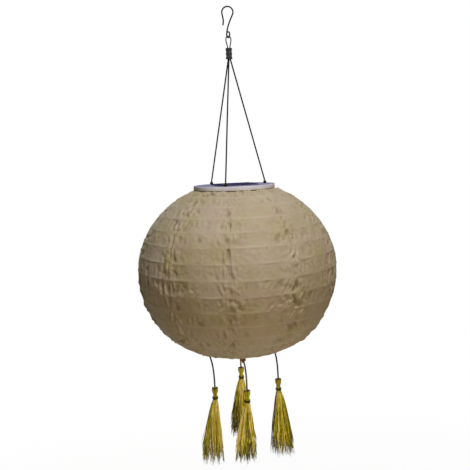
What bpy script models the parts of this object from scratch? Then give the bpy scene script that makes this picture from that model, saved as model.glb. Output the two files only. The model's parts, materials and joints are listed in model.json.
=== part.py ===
"""Hanging solar lantern with a folding fabric body, modelled as the pieces it is made of.

Units are metres, +Z is up. The origin is the inside of the hook's crown, where the
lantern hangs on a branch, rod or ceiling hook, so every other piece lies below it.
"""

import math

import bmesh
import bpy
from mathutils import Matrix, Vector

# Fits
CLEARANCE = 0.0003
SLIDE_CLEARANCE = 0.0004

# Hook
HOOK_WIRE = 0.0022
HOOK_BOW_WIDTH = 0.0188
HOOK_TIP_DROP = 0.0262
HOOK_TIP_INSET = 0.0007
HOOK_WAIST_INSET = 0.0034
HOOK_LENGTH = 0.0454
HOOK_EYE_WIDTH = 0.0106
HOOK_EYE_TWIST = math.radians(-58)
HOOK_BOW_END = math.radians(-25)
HOOK_EYE_START = math.radians(180)
HOOK_EYE_END = math.radians(465)
HOOK_WAIST_SHARE = 0.42
HOOK_LEG_PULL = 0.25
HOOK_STEM_PULL = 0.3

# Hanging wires
LOOP_WIRE = 0.0018
LOOP_WIDTH = 0.0106
LOOP_PULL = 0.45
FERRULE_TOP_DROP = 0.0596
FERRULE_LENGTH = 0.0167
FERRULE_WIDTH = 0.0098
FERRULE_BORE = 0.0070
FERRULE_GRIP = 0.005
FERRULE_BAND_SHARE = 0.45
FERRULE_WAIST_SHARE = 0.25
CABLE_WIRE = 0.0024
CABLE_FOOT_RADIUS = 0.0496
CABLE_ANGLES = tuple(math.radians(a) for a in (15.6, 135.6, 255.6))
FOOT_WIDTH = 0.0062
FOOT_HEIGHT = 0.0035
FOOT_TOP_SHARE = 0.8
FOOT_SLOPE_SHARE = 0.3
FOOT_SOCKET_DEPTH = 0.002
FOOT_PEG_WIDTH = 0.0028
FOOT_PEG_LENGTH = 0.002

# Cap
CAP_TOP_DROP = 0.264
CAP_WIDTH = 0.124
CAP_HEIGHT = 0.006
CAP_EDGE = 0.0008
CAP_PLATE = 0.003
CAP_RIM_WALL = 0.002
PANEL_SIDE = 0.061
PANEL_THICKNESS = 0.0025
PANEL_TURN = math.radians(13)
PANEL_POCKET_DEPTH = 0.0022
GASKET_THICKNESS = 0.0005
GASKET_BAND = 0.005
LEAD_HOLE_WIDTH = 0.005
FLANGE_THICKNESS = 0.0028
BASE_DEPTH = 0.0167
BASE_WALL = 0.002
BASE_FLOOR = 0.002

# Cap screws
SCREW_CIRCLE_RADIUS = 0.049
SCREW_ANGLES = tuple(math.radians(a) for a in (90, 210, 330))
SCREW_SHANK_WIDTH = 0.0028
SCREW_HEAD_WIDTH = 0.0056
SCREW_HEAD_HEIGHT = 0.0018
SCREW_FACE_SHARE = 0.7
SCREW_BITE = 0.0018
POST_WIDTH = 0.0066

# Electronics
BOARD_LENGTH = 0.046
BOARD_WIDTH = 0.030
BOARD_THICKNESS = 0.0016
BOARD_OFFSET = 0.014
STANDOFF_WIDTH = 0.004
STANDOFF_HEIGHT = 0.0035
STANDOFF_INSET = 0.003
LED_WIDTH = 0.005
LED_FLANGE_WIDTH = 0.0058
LED_FLANGE_THICKNESS = 0.001
LED_REACH = 0.0035
LED_SPACING = 0.028
LED_OFFSET = 0.010
CELL_WIDTH = 0.0105
CELL_LENGTH = 0.0445
CELL_NUB_WIDTH = 0.0038
CELL_NUB_LENGTH = 0.0009
CELL_OFFSET = -0.022
CONTACT_THICKNESS = 0.0005
CONTACT_WIDTH = 0.008
CONTACT_HEIGHT = 0.009
COVER_WIDTH = 0.0124
COVER_BEAD_WIDTH = 0.0024
KNOB_LENGTH = 0.005
KNOB_WIDTH = 0.003
KNOB_REACH = 0.002
KNOB_FLANGE_MARGIN = 0.002
KNOB_FLANGE_THICKNESS = 0.001
KNOB_OFFSET = 0.024
SWITCH_TRAVEL = 0.003

# Fabric body and its hoops
BODY_WIDTH = 0.305
BODY_HALF_HEIGHT = 0.1342
HOOP_WIRE = 0.0016
TOP_HOOP_CLEAR = 0.0004
BOTTOM_HOOP_RADIUS = 0.052
RIB_COUNT = 14
HOOP_SIDES = 30
HOOP_WIRE_SIDES = 5
FABRIC_THICKNESS = 0.0009
FABRIC_DIP = 0.0007
GORE_COUNT = 10
OUTLINE_STEPS = 3000

# Expander frame
EXPANDER_WIRE = 0.0025
EXPANDER_LEG_RADIUS = 0.044
EXPANDER_TURN = math.radians(45)
EXPANDER_FOOT_WIDTH = 0.006
EXPANDER_FOOT_REACH = 0.004
EXPANDER_BEND = 0.007
EXPANDER_LEG_PULL = 0.45
EXPANDER_FOOT_PULL = 0.2
BOSS_WIDTH = 0.0072
BOSS_HEIGHT = 0.008
BOSS_SOCKET_DEPTH = 0.0065

# Tassels, one value per tassel from the right one, anticlockwise seen from above
TASSEL_TURN = math.radians(3.8)
TASSEL_CORD_WIRE = 0.0028
TASSEL_CORD_DROPS = (0.052, 0.046, 0.060, 0.050)
TASSEL_CORD_DRIFTS = (0.006, 0.003, 0.009, 0.004)
TASSEL_CORD_KNOT = 0.004
CORD_START_SHARE = 0.15
CORD_MIN_STEPS = 5
CORD_STEP_WIDTHS = 3
TASSEL_LENGTHS = (0.124, 0.122, 0.125, 0.121)
TASSEL_HEAD_WIDTH = 0.011
TASSEL_HEAD_LENGTH = 0.0145
TASSEL_HEAD_ROUNDNESS = 0.8
TASSEL_NECK_WIDTH = 0.0058
TASSEL_NECK_LENGTH = 0.0055
TASSEL_BINDING_WIDTH = 0.0092
TASSEL_SKIRT_TOP = 0.0084
TASSEL_SKIRT_WIDTH = 0.032
TASSEL_SKIRT_FLARE = 0.7
TASSEL_FLUTES = 8
TASSEL_FLUTE_DEPTH = 0.13

# Places that follow from the sizes above
CAP_RADIUS = CAP_WIDTH / 2
CAP_TOP = -CAP_TOP_DROP
CAP_BOTTOM = CAP_TOP - CAP_HEIGHT
PLATE_BOTTOM = CAP_TOP - CAP_PLATE
POCKET_FLOOR = CAP_TOP - PANEL_POCKET_DEPTH
FLANGE_RADIUS = CAP_RADIUS - CAP_RIM_WALL - CLEARANCE
FLANGE_TOP = PLATE_BOTTOM - CLEARANCE
FLANGE_BOTTOM = FLANGE_TOP - FLANGE_THICKNESS
BASE_BOTTOM = FLANGE_TOP - BASE_DEPTH
FLOOR_TOP = BASE_BOTTOM + BASE_FLOOR
TOP_HOOP_RADIUS = FLANGE_RADIUS - HOOP_WIRE
COLLAR_RADIUS = TOP_HOOP_RADIUS - HOOP_WIRE / 2 - SLIDE_CLEARANCE
TOP_HOOP_Z = min(FLANGE_BOTTOM, CAP_BOTTOM) - TOP_HOOP_CLEAR - HOOP_WIRE / 2
FABRIC_SIDES = 2 * GORE_COUNT
FACET_SHARE = math.cos(math.pi / FABRIC_SIDES)
FABRIC_REACH = HOOP_WIRE / 2 + CLEARANCE
RIB_MAX_RADIUS = BODY_WIDTH / 2 * FACET_SHARE - FABRIC_THICKNESS - FABRIC_REACH
SWING_Z = HOOK_WIRE / 2 - HOOK_LENGTH
LOOP_ANGLE = HOOK_EYE_TWIST + math.radians(90)
FERRULE_TOP = -FERRULE_TOP_DROP
FERRULE_BOTTOM = FERRULE_TOP - FERRULE_LENGTH
BOARD_BOTTOM = FLOOR_TOP + STANDOFF_HEIGHT
COVER_LENGTH = CELL_LENGTH + 2 * CLEARANCE
OPENING_LENGTH = COVER_LENGTH + 2 * SLIDE_CLEARANCE
OPENING_WIDTH = COVER_WIDTH + 2 * SLIDE_CLEARANCE
COVER_HINGE_Y = CELL_OFFSET - COVER_WIDTH / 2
TASSEL_ANGLES = tuple(TASSEL_TURN + i * math.radians(90) for i in range(4))


def ellipse_height(radius):
    """Height above the widest hoop at which the body's outline has this radius."""
    return BODY_HALF_HEIGHT * math.sqrt(1 - (radius / RIB_MAX_RADIUS) ** 2)


BODY_CENTRE_Z = TOP_HOOP_Z - ellipse_height(TOP_HOOP_RADIUS)
BOTTOM_HOOP_Z = BODY_CENTRE_Z - ellipse_height(BOTTOM_HOOP_RADIUS)


def clear_scene():
    """Remove every object, so that the script starts from an empty scene."""
    for obj in list(bpy.data.objects):
        bpy.data.objects.remove(obj, do_unlink=True)


def new_collection(name):
    """Make a collection in the scene."""
    collection = bpy.data.collections.new(name)
    bpy.context.scene.collection.children.link(collection)
    return collection


def make_material(name, colour, roughness, metallic=0.0):
    """Principled material with one colour, roughness and metallic value."""
    material = bpy.data.materials.new(name)
    material.use_nodes = True
    shader = material.node_tree.nodes["Principled BSDF"]
    shader.inputs["Base Color"].default_value = (*colour, 1.0)
    shader.inputs["Roughness"].default_value = roughness
    shader.inputs["Metallic"].default_value = metallic
    return material


clear_scene()
PARTS = new_collection("solar_hanging_lantern")
CUTTERS = new_collection("cutters")

BLACK_WIRE = make_material("black_coated_wire", (0.012, 0.012, 0.014), 0.4, 0.6)
CRIMP_METAL = make_material("crimped_metal", (0.12, 0.12, 0.11), 0.3, 0.9)
CABLE_BLACK = make_material("black_cable", (0.018, 0.018, 0.018), 0.55)
CAP_PLASTIC = make_material("pale_silver_plastic", (0.62, 0.60, 0.68), 0.35)
BASE_PLASTIC = make_material("white_plastic", (0.72, 0.72, 0.70), 0.45)
SOLAR_CELL = make_material("solar_cell", (0.018, 0.018, 0.06), 0.15)
FOAM = make_material("black_foam", (0.02, 0.02, 0.02), 0.9)
BOARD_GREEN = make_material("green_board", (0.02, 0.13, 0.05), 0.5)
CELL_SLEEVE = make_material("cell_sleeve", (0.05, 0.16, 0.09), 0.4)
SPRING_STEEL = make_material("spring_steel", (0.5, 0.5, 0.48), 0.3, 1.0)
LED_LENS = make_material("led_lens", (0.85, 0.80, 0.62), 0.1)
HOOP_STEEL = make_material("hoop_steel", (0.36, 0.36, 0.35), 0.4, 1.0)
FABRIC = make_material("khaki_nylon", (0.40, 0.34, 0.23), 0.75)
CORD_GREEN = make_material("dark_green_cord", (0.035, 0.045, 0.03), 0.8)
TASSEL_GOLD = make_material("gold_thread", (0.20, 0.14, 0.05), 0.6)


def show(obj, material, parent=None):
    """Link a finished piece to the parts, give it its material and its parent empty.

    The object's location is a world place; a parent empty only moves that place into
    its own coordinates.
    """
    if not obj.users_collection:
        PARTS.objects.link(obj)
    obj.data.materials.append(material)
    if parent is not None:
        obj.parent = parent
        obj.location = obj.location - parent.location
    return obj


def pivot(name, place):
    """Empty on a joint's axis, which carries the pieces that move on that joint."""
    empty = bpy.data.objects.new(name, None)
    empty.location = place
    empty.empty_display_size = 0.01
    PARTS.objects.link(empty)
    return empty


def wire(name, points, diameter, cyclic=False, resolution=1):
    """Round wire along the points, as a curve with filled ends."""
    curve = bpy.data.curves.new(name, "CURVE")
    curve.dimensions = "3D"
    curve.bevel_depth = diameter / 2
    curve.bevel_resolution = resolution
    curve.use_fill_caps = True
    spline = curve.splines.new("POLY")
    spline.points.add(len(points) - 1)
    for knot, point in zip(spline.points, points):
        knot.co = (*point, 1.0)
    spline.use_cyclic_u = cyclic
    return bpy.data.objects.new(name, curve)


def turned(name, profile, sides, closed=False):
    """Shape turned about Z from (radius, height) points that run down the outer side."""
    mesh = bpy.data.meshes.new(name)
    corners = [(radius, 0.0, height) for radius, height in profile]
    edges = [(i, i + 1) for i in range(len(corners) - 1)]
    if closed:
        edges.append((len(corners) - 1, 0))
    mesh.from_pydata(corners, edges, [])
    obj = bpy.data.objects.new(name, mesh)
    screw = obj.modifiers.new("turn", "SCREW")
    screw.steps = sides
    screw.render_steps = sides
    screw.use_merge_vertices = True
    screw.merge_threshold = 0.00001
    screw.use_smooth_shade = True
    return obj


def box_mesh(name, size, bevel=0.0):
    """Box about its own centre, with all edges rounded where a bevel is given."""
    mesh = bpy.data.meshes.new(name)
    shape = bmesh.new()
    bmesh.ops.create_cube(shape, size=1.0, matrix=Matrix.Diagonal((*size, 1.0)))
    shape.to_mesh(mesh)
    shape.free()
    obj = bpy.data.objects.new(name, mesh)
    if bevel:
        rounding = obj.modifiers.new("edges", "BEVEL")
        rounding.width = bevel
        rounding.segments = 1
    return obj


def tool(name, shapes):
    """Cutter made of several boxes and upright or lying cylinders.

    Each shape is (size, place, turn): a size of two values is a cylinder's diameter and
    length, and of three a box's sides.
    """
    mesh = bpy.data.meshes.new(name)
    solid = bmesh.new()
    for size, place, turn in shapes:
        matrix = Matrix.Translation(place) @ turn
        if len(size) == 3:
            bmesh.ops.create_cube(solid, size=1.0, matrix=matrix @ Matrix.Diagonal((*size, 1.0)))
        else:
            bmesh.ops.create_cone(
                solid, cap_ends=True, segments=16, radius1=size[0] / 2, radius2=size[0] / 2,
                depth=size[1], matrix=matrix)
    solid.to_mesh(mesh)
    solid.free()
    cutter = bpy.data.objects.new(name, mesh)
    cutter.hide_render = True
    cutter.display_type = "WIRE"
    CUTTERS.objects.link(cutter)
    return cutter


def combine(obj, other, operation):
    """Boolean modifier that joins a tool to a piece or cuts it away."""
    modifier = obj.modifiers.new(operation.lower(), "BOOLEAN")
    modifier.operation = operation
    modifier.object = other
    modifier.solver = "EXACT"


UPRIGHT = Matrix.Identity(4)
ALONG_X = Matrix.Rotation(math.radians(90), 4, "Y")


def span(width, low, high, x, y):
    """Tool entry for an upright cylinder between two heights."""
    return ((width, high - low), (x, y, (low + high) / 2), UPRIGHT)


def polar(radius, angle, z):
    """Point at a radius and an angle about the lantern's axis."""
    return Vector((radius * math.cos(angle), radius * math.sin(angle), z))


def bezier(start, first, second, end, count):
    """Points of a cubic curve, without its first one."""
    points = []
    for step in range(1, count + 1):
        t = step / count
        s = 1 - t
        points.append(s ** 3 * start + 3 * s * s * t * first + 3 * s * t * t * second + t ** 3 * end)
    return points


def arc(centre, across, up, radius, start, end, count):
    """Points on a circle in the plane of two unit directions."""
    angles = [start + (end - start) * i / count for i in range(count + 1)]
    return [centre + radius * (math.cos(a) * across + math.sin(a) * up) for a in angles]


def make_hook():
    """Bent-wire hook: free tip, bow, slanted stem and a twisted closed eye."""
    across, up = Vector((1, 0, 0)), Vector((0, 0, 1))
    bow_radius = (HOOK_BOW_WIDTH - HOOK_WIRE) / 2
    bow_centre = Vector((0, 0, HOOK_WIRE / 2 - bow_radius))
    eye_radius = (HOOK_EYE_WIDTH - HOOK_WIRE) / 2
    eye_centre = Vector((0, 0, SWING_Z + eye_radius))
    eye_across = polar(1.0, HOOK_EYE_TWIST, 0.0)
    tip = Vector((HOOK_TIP_INSET - bow_radius, 0, -HOOK_TIP_DROP))
    bow_start = bow_centre - bow_radius * across
    leg = bow_start.z - tip.z
    waist = Vector((HOOK_WAIST_INSET - bow_radius, 0, tip.z + HOOK_WAIST_SHARE * leg))
    points = [tip] + bezier(tip, waist, bow_start - HOOK_LEG_PULL * leg * up, bow_start, 7)
    points += arc(bow_centre, across, up, bow_radius, math.pi, HOOK_BOW_END, 14)[1:]
    eye = arc(eye_centre, eye_across, up, eye_radius, HOOK_EYE_START, HOOK_EYE_END, 20)
    leaving = math.sin(HOOK_BOW_END) * across - math.cos(HOOK_BOW_END) * up
    stem = HOOK_STEM_PULL * (bow_centre.z - eye_centre.z)
    points += bezier(points[-1], points[-1] + stem * leaving, eye[0] + stem * up, eye[0], 9)
    points += eye[1:]
    show(wire("hook", points, HOOK_WIRE), BLACK_WIRE)


def make_hanging_loop(parent):
    """Loop of cable that hangs in the hook's eye, its two ends crimped in the ferrule."""
    across, up = polar(1.0, LOOP_ANGLE, 0.0), Vector((0, 0, 1))
    radius = (LOOP_WIDTH - LOOP_WIRE) / 2
    top = SWING_Z + HOOK_WIRE / 2 + CLEARANCE + LOOP_WIRE / 2
    centre = Vector((0, 0, top - radius))
    leg = FERRULE_BORE / 2 - LOOP_WIRE / 2 - SLIDE_CLEARANCE
    foot = Vector((0, 0, FERRULE_TOP - FERRULE_GRIP)) + leg * across
    neck = Vector((0, 0, FERRULE_TOP)) + leg * across
    reach = LOOP_PULL * (centre.z - neck.z)
    side = centre + radius * across
    right = [foot, neck] + bezier(neck, neck + reach * up, side - reach * up, side, 5)
    crown = arc(centre, across, up, radius, 0.0, math.pi, 10)[1:-1]
    mirrored = [point - 2 * point.dot(across) * across for point in reversed(right)]
    show(wire("hanging_loop", right + crown + mirrored, LOOP_WIRE), CABLE_BLACK, parent)


def make_ferrule(parent):
    """Crimped sleeve that holds the loop's ends and the three hanging wires."""
    outer, bore = FERRULE_WIDTH / 2, FERRULE_BORE / 2
    edge = (outer - bore) / 2
    waist = outer - edge / 2
    half = FERRULE_LENGTH / 2
    profile = [
        (bore, half), (outer - edge, half), (outer, half - edge), (outer, half * FERRULE_BAND_SHARE),
        (waist, half * FERRULE_WAIST_SHARE), (waist, -half * FERRULE_WAIST_SHARE),
        (outer, -half * FERRULE_BAND_SHARE),
        (outer, edge - half), (outer - edge, -half), (bore, -half)]
    sleeve = turned("crimp_ferrule", profile, 16, closed=True)
    sleeve.location = (0, 0, FERRULE_TOP - half)
    show(sleeve, CRIMP_METAL, parent)


def make_hanging_wires(parent):
    """Three cables from the ferrule to sockets on the cap, each with its foot."""
    start_radius = FERRULE_BORE / 2 - CABLE_WIRE / 2 - SLIDE_CLEARANCE
    foot_top = CAP_TOP + CLEARANCE + FOOT_HEIGHT
    socket_floor = foot_top - FOOT_SOCKET_DEPTH
    for number, angle in enumerate(CABLE_ANGLES, 1):
        points = [
            polar(start_radius, angle, FERRULE_BOTTOM + FERRULE_GRIP),
            polar(start_radius, angle, FERRULE_BOTTOM),
            polar(CABLE_FOOT_RADIUS, angle, socket_floor + CABLE_WIRE / 2)]
        show(wire(f"hanging_wire_{number}", points, CABLE_WIRE, resolution=2), CABLE_BLACK, parent)
        outer, socket, peg = FOOT_WIDTH / 2, CABLE_WIRE / 2 + 2 * SLIDE_CLEARANCE, FOOT_PEG_WIDTH / 2
        profile = [
            (0, socket_floor), (socket, socket_floor), (socket, foot_top),
            (FOOT_TOP_SHARE * outer, foot_top),
            (outer, foot_top - FOOT_SLOPE_SHARE * FOOT_HEIGHT), (outer, CAP_TOP + CLEARANCE),
            (peg, CAP_TOP + CLEARANCE), (peg, CAP_TOP - FOOT_PEG_LENGTH), (0, CAP_TOP - FOOT_PEG_LENGTH)]
        place = polar(CABLE_FOOT_RADIUS, angle, 0.0)
        foot = turned(f"wire_foot_{number}", [(r, z - CAP_TOP) for r, z in profile], 14)
        foot.location = (place.x, place.y, CAP_TOP)
        show(foot, BLACK_WIRE, parent)


def make_cap_ring(parent):
    """Shallow cap with the solar panel's pocket, a lead hole and its blind holes."""
    profile = [
        (0, CAP_TOP), (CAP_RADIUS - CAP_EDGE, CAP_TOP), (CAP_RADIUS, CAP_TOP - CAP_EDGE),
        (CAP_RADIUS, CAP_BOTTOM), (CAP_RADIUS - CAP_RIM_WALL, CAP_BOTTOM),
        (CAP_RADIUS - CAP_RIM_WALL, PLATE_BOTTOM), (0, PLATE_BOTTOM)]
    ring = turned("cap_ring", profile, 48)
    pocket = PANEL_SIDE + 2 * CLEARANCE
    over = CAP_PLATE
    depth = PANEL_POCKET_DEPTH + over
    recess = ((pocket, pocket, depth), (0, 0, POCKET_FLOOR + depth / 2), Matrix.Rotation(PANEL_TURN, 4, "Z"))
    cuts = [span(LEAD_HOLE_WIDTH, PLATE_BOTTOM - over, CAP_TOP, 0, 0)]
    for angle in CABLE_ANGLES:
        place = polar(CABLE_FOOT_RADIUS, angle, 0)
        low = CAP_TOP - FOOT_PEG_LENGTH - CLEARANCE
        cuts.append(span(FOOT_PEG_WIDTH + 2 * CLEARANCE, low, CAP_TOP + over, place.x, place.y))
    for angle in SCREW_ANGLES:
        place = polar(SCREW_CIRCLE_RADIUS, angle, 0)
        high = PLATE_BOTTOM + SCREW_BITE + CLEARANCE
        cuts.append(span(SCREW_SHANK_WIDTH + 2 * CLEARANCE, PLATE_BOTTOM - over, high, place.x, place.y))
    combine(ring, tool("panel_pocket", [recess]), "DIFFERENCE")
    combine(ring, tool("cap_ring_holes", cuts), "DIFFERENCE")
    show(ring, CAP_PLASTIC, parent)


def make_solar_panel(parent):
    """Square panel, proud of the cap, on a foam gasket in the cap's pocket."""
    gasket_bottom = POCKET_FLOOR + CLEARANCE
    panel_bottom = gasket_bottom + GASKET_THICKNESS + CLEARANCE
    outline = bpy.data.curves.new("panel_gasket", "CURVE")
    outline.dimensions = "2D"
    outline.fill_mode = "BOTH"
    outline.extrude = GASKET_THICKNESS / 2
    for half in (PANEL_SIDE / 2, PANEL_SIDE / 2 - GASKET_BAND):
        spline = outline.splines.new("POLY")
        spline.points.add(3)
        for knot, (x, y) in zip(spline.points, ((half, half), (-half, half), (-half, -half), (half, -half))):
            knot.co = (x, y, 0, 1)
        spline.use_cyclic_u = True
    gasket = bpy.data.objects.new("panel_gasket", outline)
    gasket.location = (0, 0, gasket_bottom + GASKET_THICKNESS / 2)
    panel = box_mesh("solar_panel", (PANEL_SIDE, PANEL_SIDE, PANEL_THICKNESS), CLEARANCE)
    panel.location = (0, 0, panel_bottom + PANEL_THICKNESS / 2)
    for piece, material in ((gasket, FOAM), (panel, SOLAR_CELL)):
        piece.rotation_euler = (0, 0, PANEL_TURN)
        show(piece, material, parent)


def make_cap_base(parent):
    """Tub under the cap: collar for the top hoop, posts, bosses and openings."""
    inner = COLLAR_RADIUS - BASE_WALL
    profile = [
        (0, FLOOR_TOP), (inner, FLOOR_TOP), (inner, FLANGE_TOP), (FLANGE_RADIUS, FLANGE_TOP),
        (FLANGE_RADIUS, FLANGE_BOTTOM), (COLLAR_RADIUS, FLANGE_BOTTOM),
        (COLLAR_RADIUS, BASE_BOTTOM), (0, BASE_BOTTOM)]
    base = turned("cap_base", profile, 48)
    sunk = BASE_FLOOR / 2
    joined, cuts = [], []
    for angle in SCREW_ANGLES:
        place = polar(SCREW_CIRCLE_RADIUS, angle, 0)
        joined.append(span(POST_WIDTH, FLOOR_TOP - sunk, FLANGE_TOP - CLEARANCE, place.x, place.y))
        cuts.append(span(
            SCREW_SHANK_WIDTH + 2 * CLEARANCE, BASE_BOTTOM - sunk, FLANGE_TOP + sunk, place.x, place.y))
    for side in (0, math.pi):
        place = expander_point(EXPANDER_LEG_RADIUS, EXPANDER_FOOT_WIDTH / 2, 0, side)
        low = BASE_BOTTOM - BOSS_HEIGHT
        joined.append(span(BOSS_WIDTH, low, BASE_BOTTOM + sunk, place.x, place.y))
        cuts.append(span(
            EXPANDER_WIRE + 2 * SLIDE_CLEARANCE, low - sunk, low + BOSS_SOCKET_DEPTH, place.x, place.y))
    for x in (-1, 1):
        for y in (-1, 1):
            joined.append(span(
                STANDOFF_WIDTH, FLOOR_TOP - sunk, BOARD_BOTTOM - CLEARANCE,
                x * (BOARD_LENGTH / 2 - STANDOFF_INSET),
                BOARD_OFFSET + y * (BOARD_WIDTH / 2 - STANDOFF_INSET)))
        cuts.append(span(
            LED_WIDTH + 2 * CLEARANCE, BASE_BOTTOM - sunk, FLOOR_TOP + sunk, x * LED_SPACING / 2, LED_OFFSET))
    middle = (BASE_BOTTOM + FLOOR_TOP) / 2
    slot = (KNOB_LENGTH + 2 * SWITCH_TRAVEL + 2 * SLIDE_CLEARANCE, KNOB_WIDTH + 2 * SLIDE_CLEARANCE,
            2 * BASE_FLOOR)
    opening = (OPENING_LENGTH, OPENING_WIDTH, 2 * BASE_FLOOR)
    bead = (COVER_BEAD_WIDTH + 2 * SLIDE_CLEARANCE, OPENING_LENGTH)
    cuts.append((slot, (0, KNOB_OFFSET, middle), UPRIGHT))
    cuts.append((opening, (0, CELL_OFFSET, middle), UPRIGHT))
    groove = tool("cover_groove_cut", [(bead, (0, COVER_HINGE_Y, BASE_BOTTOM), ALONG_X)])
    combine(base, tool("cap_base_additions", joined), "UNION")
    combine(base, tool("cap_base_cuts", cuts), "DIFFERENCE")
    combine(base, groove, "DIFFERENCE")
    show(base, BASE_PLASTIC, parent)


def make_cap_screws(parent):
    """Three screws from below the tub into the cap."""
    head_top = BASE_BOTTOM - CLEARANCE
    shank, head = SCREW_SHANK_WIDTH / 2, SCREW_HEAD_WIDTH / 2
    profile = [
        (0, PLATE_BOTTOM + SCREW_BITE), (shank, PLATE_BOTTOM + SCREW_BITE), (shank, head_top),
        (head, head_top), (head, head_top - SCREW_HEAD_HEIGHT / 2),
        (SCREW_FACE_SHARE * head, head_top - SCREW_HEAD_HEIGHT), (0, head_top - SCREW_HEAD_HEIGHT)]
    for number, angle in enumerate(SCREW_ANGLES, 1):
        place = polar(SCREW_CIRCLE_RADIUS, angle, head_top)
        screw = turned(f"cap_screw_{number}", [(r, z - head_top) for r, z in profile], 10)
        screw.location = place
        show(screw, SPRING_STEEL, parent)


def make_electronics(parent):
    """Circuit board, two lamps, the rechargeable cell and its two contacts."""
    board = box_mesh("circuit_board", (BOARD_LENGTH, BOARD_WIDTH, BOARD_THICKNESS))
    board.location = (0, BOARD_OFFSET, BOARD_BOTTOM + BOARD_THICKNESS / 2)
    show(board, BOARD_GREEN, parent)
    body, flange = LED_WIDTH / 2, LED_FLANGE_WIDTH / 2
    top = BOARD_BOTTOM - CLEARANCE
    tip = BASE_BOTTOM - LED_REACH
    ledge = top - LED_FLANGE_THICKNESS
    dome = [(body * math.cos(a), tip + body - body * math.sin(a)) for a in
            (math.radians(d) for d in (0, 30, 60))]
    profile = [(0, top), (flange, top), (flange, ledge), (body, ledge)] + dome + [(0, tip)]
    for side, x in (("left", -LED_SPACING / 2), ("right", LED_SPACING / 2)):
        lamp = turned(f"led_{side}", [(r, z - top) for r, z in profile], 14)
        lamp.location = (x, LED_OFFSET, top)
        show(lamp, LED_LENS, parent)
    radius, nub, end = CELL_WIDTH / 2, CELL_NUB_WIDTH / 2, CELL_LENGTH / 2
    shoulder = end - CELL_NUB_LENGTH
    profile = [(0, end), (nub, end), (nub, shoulder), (radius, shoulder), (radius, -end), (0, -end)]
    cell = turned("battery", profile, 20)
    cell.rotation_euler = (0, math.radians(90), 0)
    cell.location = (0, CELL_OFFSET, FLOOR_TOP + CLEARANCE + radius)
    show(cell, CELL_SLEEVE, parent)
    for number, side in enumerate((-1, 1), 1):
        contact = box_mesh(f"battery_contact_{number}", (CONTACT_THICKNESS, CONTACT_WIDTH, CONTACT_HEIGHT))
        x = OPENING_LENGTH / 2 + CONTACT_THICKNESS / 2 + CLEARANCE / 2
        contact.location = (side * x, CELL_OFFSET, FLOOR_TOP + CLEARANCE + CONTACT_HEIGHT / 2)
        show(contact, SPRING_STEEL, parent)


def make_battery_cover(parent):
    """Door in the tub's floor, with a hinge bead along its outer edge."""
    thickness = BASE_FLOOR - CLEARANCE
    bead = COVER_BEAD_WIDTH
    door = box_mesh("battery_cover", (COVER_LENGTH, COVER_WIDTH, thickness))
    for corner in door.data.vertices:
        corner.co += Vector((0, COVER_WIDTH / 2, thickness / 2))
    hinge = tool("battery_cover_bead", [((bead, COVER_LENGTH), (0, COVER_HINGE_Y, BASE_BOTTOM), ALONG_X)])
    combine(door, hinge, "UNION")
    door.location = (0, COVER_HINGE_Y, BASE_BOTTOM)
    show(door, BASE_PLASTIC, parent)


def make_switch_slider(parent):
    """Sliding switch knob that pokes through the tub's floor, with a flange inside."""
    flange_bottom = FLOOR_TOP + CLEARANCE
    knob_bottom = BASE_BOTTOM - KNOB_REACH
    knob_top = flange_bottom + KNOB_FLANGE_THICKNESS / 2
    flange = box_mesh("switch_slider", (
        KNOB_LENGTH + 2 * KNOB_FLANGE_MARGIN, KNOB_WIDTH + 2 * KNOB_FLANGE_MARGIN, KNOB_FLANGE_THICKNESS))
    flange.location = (0, KNOB_OFFSET, flange_bottom + KNOB_FLANGE_THICKNESS / 2)
    knob = tool("switch_knob", [(
        (KNOB_LENGTH, KNOB_WIDTH, knob_top - knob_bottom),
        (0, KNOB_OFFSET, (knob_top + knob_bottom) / 2), UPRIGHT)])
    combine(flange, knob, "UNION")
    show(flange, BLACK_WIRE, parent)


def expander_point(radius, offset, z, side):
    """Point beside one of the expander's two legs, in the expander's own plane."""
    turn = EXPANDER_TURN + side
    return polar(radius, turn, z) + polar(offset, turn + math.pi / 2, 0)


def make_expander(parent):
    """One bent spring wire: two legs in the tub's bosses and hairpin feet under the bottom hoop."""
    top = BASE_BOTTOM - BOSS_HEIGHT + BOSS_SOCKET_DEPTH - CLEARANCE
    floor = BOTTOM_HOOP_Z - HOOP_WIRE / 2 - CLEARANCE - EXPANDER_WIRE / 2
    half = EXPANDER_FOOT_WIDTH / 2
    turn_radius = BOTTOM_HOOP_RADIUS + EXPANDER_FOOT_REACH - half
    up = Vector((0, 0, 1))
    legs = []
    for side in (0, math.pi):
        corner = expander_point(EXPANDER_LEG_RADIUS, half, floor, side)
        start = corner + EXPANDER_BEND * up
        outward = polar(1.0, EXPANDER_TURN + side, 0)
        sideways = polar(1.0, EXPANDER_TURN + side + math.pi / 2, 0)
        foot = corner + (turn_radius - EXPANDER_LEG_RADIUS) * outward
        bend = bezier(start, corner + EXPANDER_LEG_PULL * EXPANDER_BEND * up,
                      corner + EXPANDER_FOOT_PULL * EXPANDER_BEND * outward, foot, 5)
        hairpin = arc(foot - half * sideways, outward, sideways, half, math.pi / 2, -math.pi / 2, 6)
        legs.append([Vector((start.x, start.y, top)), start] + bend + hairpin[1:])
    points = legs[0] + list(reversed(legs[1]))
    show(wire("expander_frame", points, EXPANDER_WIRE, resolution=2), SPRING_STEEL, parent)


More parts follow.
